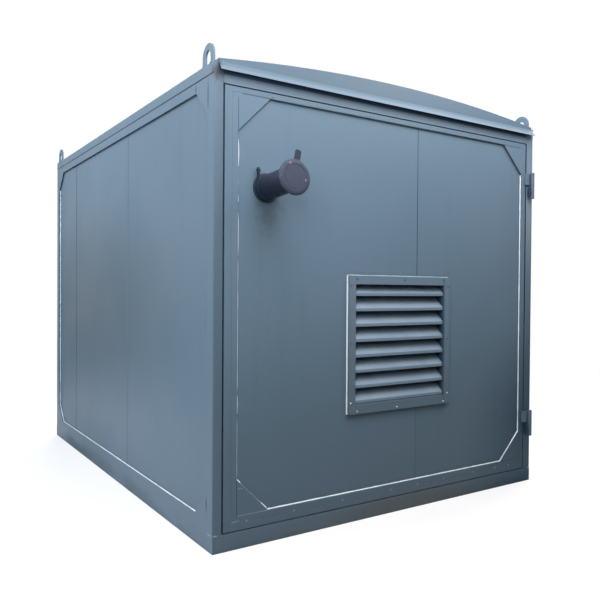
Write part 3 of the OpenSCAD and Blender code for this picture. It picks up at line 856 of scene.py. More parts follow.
@dataclass(frozen=True)
class TreadSteel(Finish):
    """Floor plate with raised tread marks and boot scratches."""

    colour: Colour = (0.13, 0.13, 0.135)
    bright: Colour = (0.34, 0.34, 0.35)
    grime: Colour = (0.05, 0.048, 0.045)
    pitch: float = 0.03
    rise: float = 0.0012

    def coat(self, bench: Bench) -> dict[str, Value]:
        """Tread is a product of two sine waves at right angles, raised where it is high; its tops are rubbed bright."""
        beat = math.tau / self.pitch
        waves = [bench.math("SINE", bench.times(bench.axis(bench.point(), letter), beat)) for letter in "XY"]
        tread = bench.remap(bench.math("ABSOLUTE", bench.times(*waves)), 0.62, 0.8)
        tone = UnevenTone.place(bench, Scale=3.0)
        # dirt and painted shade in the corners
        crevice = CreviceDirtAndShade.place(bench, Reach=0.1)["Mask"]
        rubbed = bench.times(tread, bench.remap(tone["Patch"], 0, 1, 0.2, 0.8))
        colour = bench.blend(rubbed, self.colour, self.bright)
        return {
            "Base Color": bench.cover(colour, crevice, 0.6, self.grime),
            "Metallic": 0.7,
            "Roughness": bench.remap(tone["Grain"], 0.3, 0.7, 0.42, 0.62),
            "Normal": bench.bump(bench.times(tread, self.rise)),
        }


@dataclass(frozen=True)
class HotSteel(Finish):
    """Steel that has run hot: black scale, with brown and violet where it is hottest and soot at the mouth."""

    black: Colour = (0.006, 0.013, 0.029)
    violet: Colour = (0.019, 0.022, 0.042)
    brown: Colour = (0.030, 0.026, 0.038)
    dusty: Colour = (0.08, 0.09, 0.11)
    rubbed: Colour = (0.06, 0.075, 0.10)
    roughness: float = 0.5
    gloss: float = 0.28

    def coat(self, bench: Bench) -> dict[str, Value]:
        """Colour is black with violet patches and brown on the upper side, where the sky and rain reach it."""
        tone = UnevenTone.place(bench, Scale=14.0)
        settled = SettledDust.place(bench)
        edges = WornEdgesAndHighlight.place(bench, Radius=0.003, Breakup=0.42)["Mask"]
        mottle = bench.remap(bench.noise(bench.point(), 34.0, 4.0, 0.6), 0.36, 0.64)
        top = bench.remap(bench.axis(bench.node("ShaderNodeTexCoord").outputs["Normal"], "Z"), -0.35, 0.6)
        colour = bench.cover(self.black, tone["Patch"], bench.remap(top, 0, 1, 0.25, 0.9), self.violet)
        colour = bench.cover(colour, bench.times(mottle, top), 0.6, self.brown)
        colour = bench.cover(colour, settled["Dust"], 0.05, self.dusty)
        return {
            "Base Color": bench.cover(colour, edges, 0.1, self.rubbed),
            "Metallic": bench.times(tone["Patch"], 0.35),
            "Roughness": bench.remap(mottle, 0, 1, self.roughness - 0.1, self.roughness + 0.12),
            "Specular IOR Level": self.gloss,
            "Normal": bench.bump(bench.math("ADD", bench.times(mottle, 0.00015), bench.times(tone["Grain"], 0.00004))),
        }


@dataclass(frozen=True)
class CastGrey(Finish):
    """Dull grey of the rain flap, rubbed brighter on its edges, with painted shade on the lever above it.

    Args:
        colour, dark: the casting and its mottling.
        edge: where it is rubbed.
        painted_lever_shade: painted shade on the lever.
        grime: dirt and painted shade in corners.
        lever: height where the lever starts.
        gloss: how strongly it shines.
    """

    colour: Colour = (0.036, 0.047, 0.071)
    dark: Colour = (0.027, 0.034, 0.054)
    edge: Colour = (0.055, 0.065, 0.085)
    painted_lever_shade: Colour = (0.014, 0.018, 0.034)
    grime: Colour = (0.012, 0.013, 0.018)
    lever: float = 10.0
    gloss: float = 0.18

    def coat(self, bench: Bench) -> dict[str, Value]:
        """Colour is fine cast mottling, darker in corners and brighter on edges."""
        tone = UnevenTone.place(bench, Scale=16.0)
        crevice = CreviceDirtAndShade.place(bench, Reach=0.012)["Mask"]
        edges = WornEdgesAndHighlight.place(bench, Radius=0.003, Breakup=0.4)["Mask"]
        mottle = bench.remap(bench.noise(bench.point(), 70.0, 4.0, 0.6), 0.36, 0.64)
        colour = bench.cover(self.colour, tone["Patch"], 0.5, self.dark)
        colour = bench.cover(colour, mottle, 0.25, self.dark)
        # painted shade on the lever above the flap
        above = bench.remap(bench.axis(bench.point(), "Z"), self.lever - 0.006, self.lever + 0.006, 0.0, 0.75)
        colour = bench.blend(above, colour, self.painted_lever_shade)
        colour = bench.cover(colour, crevice, 0.8, self.grime)
        return {
            "Base Color": bench.cover(colour, edges, 0.45, self.edge),
            "Roughness": bench.remap(mottle, 0, 1, 0.5, 0.66),
            "Specular IOR Level": self.gloss,
            "Normal": bench.bump(bench.times(mottle, 0.00008)),
        }


@dataclass(frozen=True)
class Sealant(Finish):
    """Pale rubbery sealant, smeared by hand, with dirt where it is thin."""

    colour: Colour = (0.60, 0.66, 0.68)
    dirty: Colour = (0.20, 0.24, 0.26)
    soiled: float = 0.35

    def coat(self, bench: Bench) -> dict[str, Value]:
        """Colour goes from clean to dirty in patches along the bead."""
        patches = bench.remap(bench.noise(bench.point(), 11.0, 4.0, 0.65), 0.42, 0.66)
        fine = bench.noise(bench.point(), 160.0, 2.0)
        return {
            "Base Color": bench.cover(self.colour, patches, self.soiled, self.dirty),
            "Roughness": bench.remap(fine, 0.3, 0.7, 0.35, 0.5),
            "Normal": bench.bump(bench.times(fine, 0.00008)),
        }


@dataclass(frozen=True)
class Zinc(Finish):
    """Zinc-plated steel with a fine spangle and a little white bloom."""

    colour: Colour = (0.50, 0.53, 0.56)
    bloom: Colour = (0.30, 0.31, 0.32)

    def coat(self, bench: Bench) -> dict[str, Value]:
        """Spangle is the random tone of small cells; bloom lies in patches."""
        cells = bench.node("ShaderNodeTexVoronoi", {"Vector": bench.point(), "Scale": 420.0})
        spangle = bench.node("ShaderNodeSeparateColor", {0: cells.outputs["Color"]}).outputs[0]
        bloom = bench.remap(bench.noise(bench.point(), 90.0, 3.0), 0.48, 0.66)
        colour = bench.shade(self.colour, bench.remap(spangle, 0, 1, 0.85, 1.1))
        return {
            "Base Color": bench.blend(bloom, colour, self.bloom),
            "Metallic": bench.remap(bloom, 0, 1, 0.9, 0.35),
            "Roughness": bench.remap(spangle, 0, 1, 0.28, 0.42),
        }


@dataclass(frozen=True)
class Rubber(Finish):
    """Black sealing rubber with a bloom of dust."""

    colour: Colour = (0.006, 0.008, 0.012)
    dusty: Colour = (0.018, 0.021, 0.026)

    def coat(self, bench: Bench) -> dict[str, Value]:
        """Colour is black under a thin uneven dust."""
        dust = bench.remap(bench.noise(bench.point(), 24.0, 4.0, 0.6), 0.45, 0.75)
        fine = bench.noise(bench.point(), 340.0, 2.0)
        return {
            "Base Color": bench.cover(self.colour, dust, 0.25, self.dusty),
            "Roughness": bench.remap(fine, 0.3, 0.7, 0.6, 0.8),
            "Normal": bench.bump(bench.times(fine, 0.00005)),
        }


# ---------------------------------------------------------------- common work on pieces


def span(node: str) -> tuple[Array, Array]:
    """Lowest and highest corner of a CAD node as arrays."""
    low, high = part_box(node)
    return np.array(low), np.array(high)


def corners_of(node: str) -> Array:
    """A CAD node's own corners, one row each."""
    mesh = frame["nodes"][node].data
    points = np.empty(len(mesh.vertices) * 3, np.float32)
    mesh.vertices.foreach_get("co", points)
    return points.reshape(-1, 3).astype(float)


def grooves(node: str, across: int, depth: int, out: float) -> list[tuple[float, float, float, float]]:
    """The upright grooves that are cut into a sheet's outer face.

    A groove's bottom lies between the sheet's two faces, so its corners are neither the outermost nor the innermost.

    Args:
        node: the sheet.
        across: the axis along the sheet.
        depth: the axis through it.
        out: the sign of the outer face on that axis.

    Returns:
        Middle, width, foot and head of each groove.
    """
    points = corners_of(node)
    share = points[:, depth] * out
    inside = points[(share < share.max() - SKIN) & (share > share.min() + SKIN)]
    edges = np.unique(inside[:, across].round(4))
    low, high = inside[:, 2].min() if len(inside) else 0.0, inside[:, 2].max() if len(inside) else 0.0
    return [((a + b) / 2, b - a, low, high) for a, b in zip(edges[::2], edges[1::2])]


def body_of_node(node: str) -> str:
    """The body that a CAD node belongs to."""
    return frame["nodes"][node]["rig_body"]


@dataclass
class SubAssembly:
    """What every sub-assembly does with its pieces: put them in, dress them and say so."""

    made: list[str] = field(default_factory=list, init=False)

    def add(self, name: str, shell: Shell, finish: Finish, body: Body) -> None:
        """Puts a new piece in.

        Its doubles are merged, so poles and seams close, and its faces are turned outwards.

        Args:
            name: the piece's name.
            shell: its surface.
            finish: its finish.
            body: what it rides on.
        """
        mesh = bpy.data.meshes.new(name)
        mesh.from_pydata(shell.points, [], shell.rows())
        work = bmesh.new()
        work.from_mesh(mesh)
        bmesh.ops.remove_doubles(work, verts=work.verts, dist=MERGE)
        bmesh.ops.recalc_face_normals(work, faces=work.faces)
        work.to_mesh(mesh)
        work.free()
        mesh.shade_smooth()
        mesh.set_sharp_from_angle(angle=SHARP_TURN)
        self.settle(name, mesh, finish, body.value)

    def settle(self, name: str, mesh: bpy.types.Mesh, finish: Finish, body: str) -> bpy.types.Object:
        """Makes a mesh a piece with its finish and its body."""
        mesh.materials.clear()
        mesh.materials.append(finish.material())
        piece = bpy.data.objects.new(name, mesh)
        bpy.context.scene.collection.objects.link(piece)
        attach(piece, body)
        self.made.append(name)
        return piece

    def dress(self, node: str, finish: Finish) -> None:
        """Gives a CAD node that stays its finish."""
        for place in frame["nodes"][node].material_slots:
            place.material = finish.material()
        self.made.append(node)

    def fold(
        self, node: str, finish: Finish, radius: float, folds: Folds = Folds.ALL, steps: int = 3, shut: Planes = ()
    ) -> None:
        """Shows a CAD node by a merged copy whose sharp edges are rounded.

        Args:
            node: the CAD node that the copy stands for.
            finish: its finish.
            radius: of the rounded edges.
            folds: which of the sharp edges are rounded.
            steps: facets across a rounded edge.
            shut: planes, as an axis and a place on it, where edges stay sharp because they are joined flush.
        """
        name = f"{node}_folded"
        mesh = frame["nodes"][node].data.copy()
        mesh.name = name
        work = bmesh.new()
        work.from_mesh(mesh)
        bmesh.ops.remove_doubles(work, verts=work.verts, dist=NODE_MERGE)
        bmesh.ops.dissolve_limit(work, angle_limit=FLAT_TURN, verts=work.verts, edges=work.edges)
        weight = work.edges.layers.float.new("bevel_weight_edge")
        run = None if folds is Folds.ALL else Vector(folds.value)
        for face in work.faces:
            face.smooth = True
        for edge in work.edges:
            ends = [corner.co for corner in edge.verts]
            turn = edge.calc_face_angle(0.0) > SHARP_TURN
            along = run is None or abs((ends[1] - ends[0]).normalized().dot(run)) > PARALLEL
            joined = any(all(abs(end[axis] - place) < NEAR for end in ends) for axis, place in shut)
            edge[weight] = 1.0 if turn and along and not joined else 0.0
            edge.smooth = not turn or edge[weight] > 0
        work.to_mesh(mesh)
        work.free()
        piece = self.settle(name, mesh, finish, body_of_node(node))
        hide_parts(node)
        bevel = piece.modifiers.new("folded edges", "BEVEL")
        bevel.width, bevel.segments, bevel.limit_method = radius, steps, "WEIGHT"
        bevel.use_clamp_overlap = True
        bevel.face_strength_mode = "FSTR_AFFECTED"
        flat = piece.modifiers.new("flat faces", "WEIGHTED_NORMAL")
        flat.mode, flat.weight, flat.keep_sharp, flat.use_face_influence = "FACE_AREA", 100, True, True

    def report(self) -> None:
        """Names each piece in the log."""
        for name in self.made:
            LOG.info("%s: %s", type(self).__name__, name)


class Stains:
    """Where the paint is stained, and where light and shade are painted on it, worked out from the pieces that carry
    it.
    """

    def __init__(self) -> None:
        """Works out every place."""
        self.left_post()
        self.right_post()
        self.rail_and_gable()
        self.sheets()
        self.hinges()

    def left_post(self) -> None:
        """Rust and dirt at the head, painted shade on the front, painted shade in short gaps beside the post and a bare
        tick at its foot.
        """
        low, high = span("corner_post_front_left")
        x, y, foot = low
        side, head, middle = high[0], high[2], (foot + high[2]) / 2
        place = (x + 0.014, y + 0.004, head + 0.010)
        self.rust = Stain(place, (0.042, 0.052, 0.060), (0.046, 0.047, 0.052), 0.95, 0.35)
        self.rust_run = Stain((side, y, head - 0.02), (0.010, 0.03, 0.07), (0.075, 0.050, 0.040), 0.6, 0.5)
        # painted shade: the post's front is made darker than its side
        self.painted_front_shade = Stain((side - 0.014, y, middle - 0.1), (0.085, 0.012, 2.2), (0.052, 0.078, 0.100), 0.6, 0.08)
        # painted shade in short gaps beside the post, at its head and foot
        self.gaps = tuple(
            Stain((x, high[1] + along, foot + up), (0.02, 0.010, reach), (0.008, 0.018, 0.036), 0.95, 0.01)
            for along, up, reach in ((-0.001, 2.068, 0.105), (-0.001, 0.133, 0.06), (0.138, 2.128, 0.026))
        )
        self.tick = Stain((x, y + 0.034, foot), (0.02, 0.038, 0.0055), (0.24, 0.30, 0.34), 0.9, 0.01)

    def right_post(self) -> None:
        """Painted light near the head, painted shade along the outer edge, and painted shade at the lower right that
        spreads from the foot over rail and leaf.
        """
        low, high = span("corner_post_front_right")
        x, y, edge = low[0], low[1], high[0]
        # painted light on the upper part of the right post
        self.painted_head_light = Stain((x + 0.033, y, 1.85), (0.07, 0.06, 0.55), (0.17, 0.225, 0.27), 0.6, 0.03)
        # painted shade along the right post's outer edge
        self.edge = Stain((edge + 0.01, y, 0.45), (0.16, 0.2, 1.3), (0.036, 0.062, 0.098), 0.75, 0.04)
        # painted shade over the lower right, across post foot, rail and leaf
        self.painted_low_right_shade = Stain((edge + 0.08, y, 0.2), (0.8, 0.3, 0.95), (0.016, 0.046, 0.074), 1.0, 0.04)

    def rail_and_gable(self) -> None:
        """Olive dirt along the front rail, and painted light on the gable's skirt with a dark end."""
        low, high = span("base_rail_front")
        middle = (low[0] + high[0]) / 2
        place = (middle + 0.05, low[1], low[2] + 0.02)
        self.olive = Stain(place, (0.95, 0.12, 0.13), (0.074, 0.086, 0.080), 0.75, 0.12)
        x, y, foot = span("gable_front")[0]
        # painted light on the gable's skirt, the band that faces up
        self.skirt = Stain((0.0, y + 0.004, foot + 0.02), (3.0, 0.022, 0.05), (0.150, 0.205, 0.250), 0.55, 0.0)
        self.flange_end = Stain((x, y + 0.020, foot + 0.04), (0.022, 0.034, 0.036), (0.024, 0.040, 0.056), 0.92, 0.1)

    def sheets(self) -> None:
        """Painted shade across the middle of the left wall, soot under the pipe and painted shade on the wall of the
        air duct.
        """
        outside = span("corner_post_front_left")[0][0] + 0.01
        # painted shade across the middle of the left wall
        self.painted_wall_shade = Stain((outside, 0.4, 1.15), (0.1, 2.2, 0.84), (0.048, 0.080, 0.104), 0.85, 0.04)
        low, high = span("exhaust_cover_ring")
        x, y = ((low + high) / 2)[:2]
        self.soot = Stain((x + 0.02, y, low[2] - 0.04), (0.11, 0.05, 0.15), (0.035, 0.045, 0.055), 0.5, 0.25)
        x, y, head = span("louvre_blade_1")[1]
        # painted shade on the duct wall beside the blades' ends
        self.duct = Stain((x, y - 0.015, head + 0.25), (0.014, 0.115, 1.3), (0.006, 0.019, 0.042), 1.0, 0.02)

    def hinges(self) -> None:
        """Darker upper barrels, and painted shade on the post beside and at the back of the lower ones, where the
        barrels shade it.
        """
        barrels, painted_barrel_shade = [], []
        front = span("corner_post_front_right")[0][1]
        for level in ("lower", "upper"):
            low, high = span(f"hinge_door_half_{level}")
            place = (high[0] - 0.010, low[1] + 0.012, (low[2] + high[2]) / 2)
            barrels.append(Stain(place, (0.024, 0.03, 0.5), (0.045, 0.068, 0.096), 0.9, 0.05))
            x, _, foot = span(f"hinge_post_half_{level}")[0]
            tall = low[2] - foot
            # painted shade on the post, where the barrel shades it
            place = (x, front, (foot + low[2]) / 2 - 0.004)
            painted_barrel_shade.append(Stain(place, (0.019, 0.05, tall * 0.85), (0.012, 0.028, 0.058), 1.0, 0.02))
        self.barrels, self.painted_barrel_shade = tuple(barrels), tuple(painted_barrel_shade)


class Finishes:
    """Every finish of the container."""

    def __init__(self) -> None:
        """Makes each group of finishes."""
        self.stains = Stains()
        self.member_paints()
        self.sheet_paints()
        self.joint_paints()
        self.hardware()

    def member_paints(self) -> None:
        """Paint of the rails, posts, roof edge and hinges."""
        at = self.stains
        # post stains: rust and dirt, with painted light near the right post's head and painted shade on the left post's
        # front, in the gaps, along the right edge, at the lower right and beside the barrels
        post = (at.rust, at.rust_run, at.painted_front_shade, at.painted_head_light, at.edge, at.painted_low_right_shade, at.tick, *at.gaps, *at.painted_barrel_shade)
        # wear is raised so the frame's edges carry a painted highlight
        self.frame = Paint("frame paint", Slot.FRAME, wear=0.34, stains=post)
        # a darker copy of the frame paint for the end base rails: painted shade, with more painted shade at the lower
        # right
        self.base = Paint(
            "frame paint near the ground", Slot.FRAME, colour=(0.086, 0.130, 0.170), drift=(0.078, 0.120, 0.158),
            splash=0.25, stains=(at.olive, at.painted_low_right_shade),
        )
        # a lighter copy of the frame paint for the header: painted light
        self.header = Paint("header paint", Slot.FRAME, colour=(0.106, 0.156, 0.202), drift=(0.098, 0.148, 0.192))
        # painted shadow that the gable's skirt casts on the end rails
        self.drip_shadow_paint = Paint(
            "painted drip shadow", Slot.FRAME, colour=(0.042, 0.072, 0.125), drift=(0.036, 0.062, 0.110),
            gloss=0.15, wear=0.0, dirt=0.2,
        )
        self.roof = Paint("roof paint", Slot.FRAME, dust=0.4, roughness=0.6, wave=0.0003)
        # a darker copy of the frame paint: painted shade; its skirt stain is painted light
        self.gable = Paint(
            "gable paint", Slot.FRAME, colour=(0.076, 0.117, 0.155), drift=(0.068, 0.108, 0.142),
            dust=0.06, stains=(at.skirt, at.flange_end),
        )
        # the hinge stains include painted shade beside the barrels
        self.hinge = Paint(
            "hinge paint", Slot.FRAME, colour=(0.100, 0.152, 0.200), dirt=0.5, stains=(*at.barrels, *at.painted_barrel_shade)
        )
        self.weld = Paint(
            "weld paint", Slot.FRAME, colour=(0.24, 0.30, 0.345), drift=(0.17, 0.225, 0.27), roughness=0.36
        )

    def sheet_paints(self) -> None:
        """Paint of the walls, the leaf and the louvre."""
        at = self.stains
        # the wall stain is painted shade across the middle of the left wall
        self.sheet = Paint("sheet paint", Slot.SHEET, roughness=0.46, runs=0.08, stains=(at.painted_wall_shade,))
        # film paints shade towards the foot; the lower right is painted shade
        self.leaf = Paint(
            "door sheet paint", Slot.SHEET, roughness=0.46, runs=0.08, film=0.30, stains=(at.soot, at.painted_low_right_shade)
        )
        # film paints shade towards the foot; the lower right is painted shade
        self.leaf_frame = Paint("door frame paint", Slot.FRAME, film=0.30, stains=(at.edge, at.painted_low_right_shade))
        # a lighter copy of the sheet paint with pale dust: painted light on the up-facing blades, partly dust; the navy
        # grime is painted shade between the blades
        self.blade = Paint(
            "blade paint", Slot.SHEET, colour=(0.125, 0.180, 0.232), drift=(0.115, 0.170, 0.220),
            dusty=(0.24, 0.28, 0.31), grime=(0.008, 0.022, 0.052), dust=0.5, dirt=0.6,
        )
        # film paints shade towards the foot, dirt paints shade in the corners, and the duct stain is painted shade
        self.louvre = Paint(
            "louvre paint", Slot.FRAME, colour=(0.100, 0.148, 0.192), drift=(0.092, 0.141, 0.183),
            film=0.45, dirt=0.8, stains=(at.duct,),
        )

    def joint_paints(self) -> None:
        """Open and painted-over joints, from dark to faint, their dark tones painted shade in the gaps and grooves, and
        old screws.
        """
        self.sheet_joint = Paint(
            "sheet joint", Slot.SHEET, colour=(0.030, 0.046, 0.060), drift=(0.024, 0.038, 0.050), gloss=0.15, wear=0.0
        )
        self.joint = Paint(
            "open joint", Slot.FRAME, colour=(0.007, 0.014, 0.027), drift=(0.006, 0.012, 0.023),
            gloss=0.1, wear=0.0, dust=0.1,
        )
        self.faint_joint = Paint(
            "painted-over joint", Slot.FRAME, colour=(0.076, 0.118, 0.157), drift=(0.070, 0.110, 0.148),
            gloss=0.2, wear=0.0,
        )
        self.old_screw = Paint(
            "painted screw", Slot.FRAME, colour=(0.040, 0.062, 0.082), drift=(0.03, 0.045, 0.06), wear=0.3
        )

    def hardware(self) -> None:
        """The lining and floor, the exhaust and its flap, sealants, zinc and rubber."""
        self.lining = Lining("lining", Slot.LINING)
        self.floor = TreadSteel("floor plate", Slot.FLOOR)
        self.exhaust = HotSteel("exhaust", Slot.EXHAUST)
        self.ring = Paint(
            "heated paint", Slot.EXHAUST, colour=(0.012, 0.031, 0.054), drift=(0.010, 0.022, 0.040),
            worn=(0.05, 0.07, 0.09), gloss=0.15, dirt=0.8,
        )
        low, high = span("rain_flap")
        self.flap = CastGrey("rain flap", Slot.FLAP, lever=float(low[2] + high[0] - low[0]))
        self.flap_rivet = CastGrey("flap rivet", Slot.FLAP, colour=(0.16, 0.17, 0.21), dark=(0.10, 0.11, 0.14))
        self.sealant = Sealant("sealant", None)
        self.thin_sealant = Sealant(
            "thin sealant", None, colour=(0.24, 0.30, 0.33), dirty=(0.12, 0.16, 0.19), soiled=0.8
        )
        self.fresh_sealant = Sealant("fresh sealant", None, colour=(0.80, 0.84, 0.86), soiled=0.06)
        self.zinc = Zinc("zinc", None)
        self.zinc_dull = Zinc("dull zinc", None, colour=(0.42, 0.45, 0.48), bloom=(0.30, 0.32, 0.34))
        self.rubber = Rubber("rubber", None)


# ---------------------------------------------------------------- sub-assemblies


@dataclass
class Frame(SubAssembly):
    """Base, posts and top rails, with the welds that hold them and painted shade in the gaps beside the leaf.

    Args:
        finishes: the container's finishes.
        fold_radius, rail_radius, header_radius: of the folded edges.
        tack: width and height of the weld at a post's foot.
        tack_run: where that weld starts and ends, from the post's outer edge.
        lip: width of the dark strips of painted shade at the gaps on the posts' faces.
        deep_lip: distance from the face and width of the strip inside the gap.
        dark_from: height from which the gap on the hinge side is wholly dark.
    """

    finishes: Finishes
    fold_radius: float = 0.004
    rail_radius: float = 0.008
    header_radius: float = 0.0015
    tack: tuple[float, float] = (0.009, 0.0016)
    tack_run: tuple[float, float] = (0.003, 0.023)
    lip: float = 0.0042
    deep_lip: tuple[float, float] = (0.005, 0.009)
    dark_from: float = 1.02

    def build(self) -> None:
        """Folds the members' edges, dresses the hidden ones, paints shade into the gaps and welds the feet of the
        posts.
        """
        self.members()
        for number in (1, 2, 3):
            self.dress(f"base_cross_member_{number}", self.finishes.base)
        self.dress("floor_plate", self.finishes.floor)
        self.gap_shade_strips()
        self.tacks()

    def members(self) -> None:
        """Rails, posts and header with folded edges, left sharp where a member is joined flush to its neighbour."""
        paint = self.finishes.frame
        base_top, rail_foot = span("base_rail_front")[1][2], span("top_rail_front")[0][2]
        for side in ("front", "rear", "left", "right"):
            ends = side in ("front", "rear")
            run = Folds.ALONG_X if ends else Folds.ALONG_Y
            foot_paint = self.finishes.base if ends else paint
            self.fold(f"base_rail_{side}", foot_paint, self.fold_radius, run, shut=((2, base_top),))
            low, high = span(f"top_rail_{side}")
            tips = {"front": (2, rail_foot), "rear": (1, low[1]), "left": (0, high[0]), "right": (0, low[0])}
            radius = self.fold_radius if side == "front" else self.rail_radius
            self.fold(f"top_rail_{side}", paint, radius, run, shut=(tips[side],))
        for corner in CORNERS:
            low, high = span(f"corner_post_{corner}")
            shut = [(1, high[1] if "front" in corner else low[1])]
            if "rear" in corner:
                shut.append((0, low[0] if "right" in corner else high[0]))
            self.fold(f"corner_post_{corner}", paint, self.fold_radius, Folds.ALONG_Z, shut=tuple(shut))
        self.fold("door_header", self.finishes.header, self.header_radius, Folds.ALONG_X, shut=((2, rail_foot),))

    def gap_shade_strips(self) -> None:
        """Dark strips of painted shade on the posts' edges beside the leaf; on the hinge side also on the post's inner
        face.
        """
        low, high = span("corner_post_front_left")
        foot, head = span("door_frame")[0][2], span("door_frame")[1][2] + 0.004
        face, half = facing(low[1], -1), self.lip / 2
        lip = face.strip(upright(high[0] - half, foot, head), self.lip, 0.0004)
        self.add("post_gap_shade", lip, self.finishes.joint, Body.HOUSING)
        edge = span("corner_post_front_right")[0][0]
        inside = Wall((edge, 0, 0), (0, 1, 0), (0, 0, 1), (-1, 0, 0))
        sunk, width = self.deep_lip
        for name, start, end, finish in (
            ("hinge_side_joint", self.dark_from, head, self.finishes.joint),
            ("hinge_side_joint_low", foot, self.dark_from, self.finishes.sheet_joint),
        ):
            front = face.strip(upright(edge + half, start, end), self.lip, 0.0004)
            deep = inside.strip(upright(low[1] + sunk, start, end), width, 0.0003)
            self.add(name, Shell.together([front, deep]), finish, Body.HOUSING)

    def tacks(self) -> None:
        """A short tack on the outer edge of each post's foot."""
        shells = []
        for corner in CORNERS:
            low, high = span(f"corner_post_{corner}")
            face = facing(low[1], -1) if "front" in corner else facing(high[1], 1)
            edge, inward = (low[0], 1) if "left" in corner else (high[0], -1)
            start, end = ((edge + inward * reach, low[2]) for reach in self.tack_run)
            shells.append(face.ripples(start, end, *self.tack))
        self.add("post_tack_welds", Shell.together(shells), self.finishes.weld, Body.HOUSING)


@dataclass
class Walls(SubAssembly):
    """Two sides and the rear: sheet in a shallow recess, a trim with cut corners round it, and sealant at its foot.

    Args:
        finishes: the container's finishes.
        low_edge, high_edge, lip, cut: the trim's opening, from the trim's own box, and its cut corners.
        bead: width and height of the sealant.
        rail_joint, post_joint: widths of the dark strips of painted shade in the open joints above and beside the trim.
        seam_widths: of a painted-over seam and of an open one.
        seam_dark_from: height from which an open seam is wholly dark.
    """

    finishes: Finishes
    low_edge: float = 0.059
    high_edge: float = 0.050
    lip: float = 0.003
    cut: float = 0.130
    trim_radius: float = 0.0012
    bead: tuple[float, float] = (0.0042, 0.0040)
    rail_joint: float = 0.0064
    post_joint: float = 0.0014
    seam_widths: tuple[float, float] = (0.020, 0.0085)
    seam_dark_from: float = 0.72

    def build(self) -> None:
        """Dresses each wall and runs its bead along the bottom, the far cut corner and the far edge."""
        for number, (side, out) in enumerate((("left", (-1, 0, 0)), ("right", (1, 0, 0)), ("rear", (0, 1, 0)))):
            self.dress(f"{side}_wall_sheet", self.finishes.sheet)
            self.dress(f"{side}_wall_panel", self.finishes.lining)
            low, high = span(f"{side}_wall_trim")
            self.fold(f"{side}_wall_trim", self.finishes.frame, self.trim_radius, shut=((2, low[2]),))
            depth = int(np.argmax(np.abs(out)))
            across = 1 - depth
            inner, outer = (self.face_at(corner, out) for corner in ((low, high) if out[depth] > 0 else (high, low)))
            start, end = low[across] + self.lip, high[across] - self.lip
            corners = octagon((start, low[2] + self.low_edge), (end, high[2] - self.high_edge), self.cut)
            # the pale bead lies where the trim's edges catch the light: sealant, partly a painted highlight
            bead = inner.bead(corners[:4], *self.bead, 11 + number)
            self.add(f"{side}_wall_sealant", bead, self.finishes.sealant, Body.HOUSING)
            self.joints(side, outer, across, low, high)
            self.seams(side, inner, across)

    def face_at(self, corner: Array, out: Point) -> Wall:
        """The face that looks outwards through a corner of the trim."""
        depth = int(np.argmax(np.abs(out)))
        origin = np.where(np.arange(3) == depth, corner, 0.0)
        return Wall(tuple(origin), (float(depth == 1), float(depth == 0), 0.0), (0, 0, 1), out)

    def joints(self, side: str, face: Wall, across: int, low: Array, high: Array) -> None:
        """Dark strips of painted shade in the grooves between this trim, the rail above it and the posts beside it.

        Args:
            side: which wall.
            face: the trim's outer face.
            across: the axis along the wall.
            low: the trim's lowest corner.
            high: its highest corner.
        """
        out, level = np.asarray(face.out), high[2] + self.rail_joint / 2
        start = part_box("corner_post_front_left")[0][across] + 0.004
        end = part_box("corner_post_rear_right")[1][across] - 0.004
        rail = face.strip([(start, level), (end, level)], self.rail_joint, 0.0001).moved(-0.0002 * out)
        posts = [
            face.strip(upright(place, low[2] + 0.002, high[2]), self.post_joint, 0.0003).moved(-0.0007 * out)
            for place in (low[across] + 0.0003, high[across] - 0.0003)
        ]
        self.add(f"{side}_wall_joint_shade", Shell.together([rail, *posts]), self.finishes.joint, Body.HOUSING)

    def seams(self, side: str, face: Wall, across: int) -> None:
        """The shadow at the bottom of each groove between two sheets, where the sheet's own corners put the groove.

        Args:
            side: which wall.
            face: the sheet's outer face.
            across: the axis along the wall.
        """
        faint, wide = self.seam_widths
        depth = 1 - across
        marks = grooves(f"{side}_wall_sheet", across, depth, face.out[depth])
        for number, (place, _, low, high) in enumerate(marks, 1):
            runs = [("", low, high, faint, self.finishes.faint_joint)]
            if number > 1 or side == "rear":
                runs = [
                    ("", self.seam_dark_from, high, wide, self.finishes.joint),
                    ("_low", low, self.seam_dark_from, wide, self.finishes.sheet_joint),
                ]
            for ending, foot, head, width, finish in runs:
                line = face.strip(upright(place, foot, head), width, 0.0003)
                self.add(f"{side}_wall_seam_{number}{ending}", line, finish, Body.HOUSING)


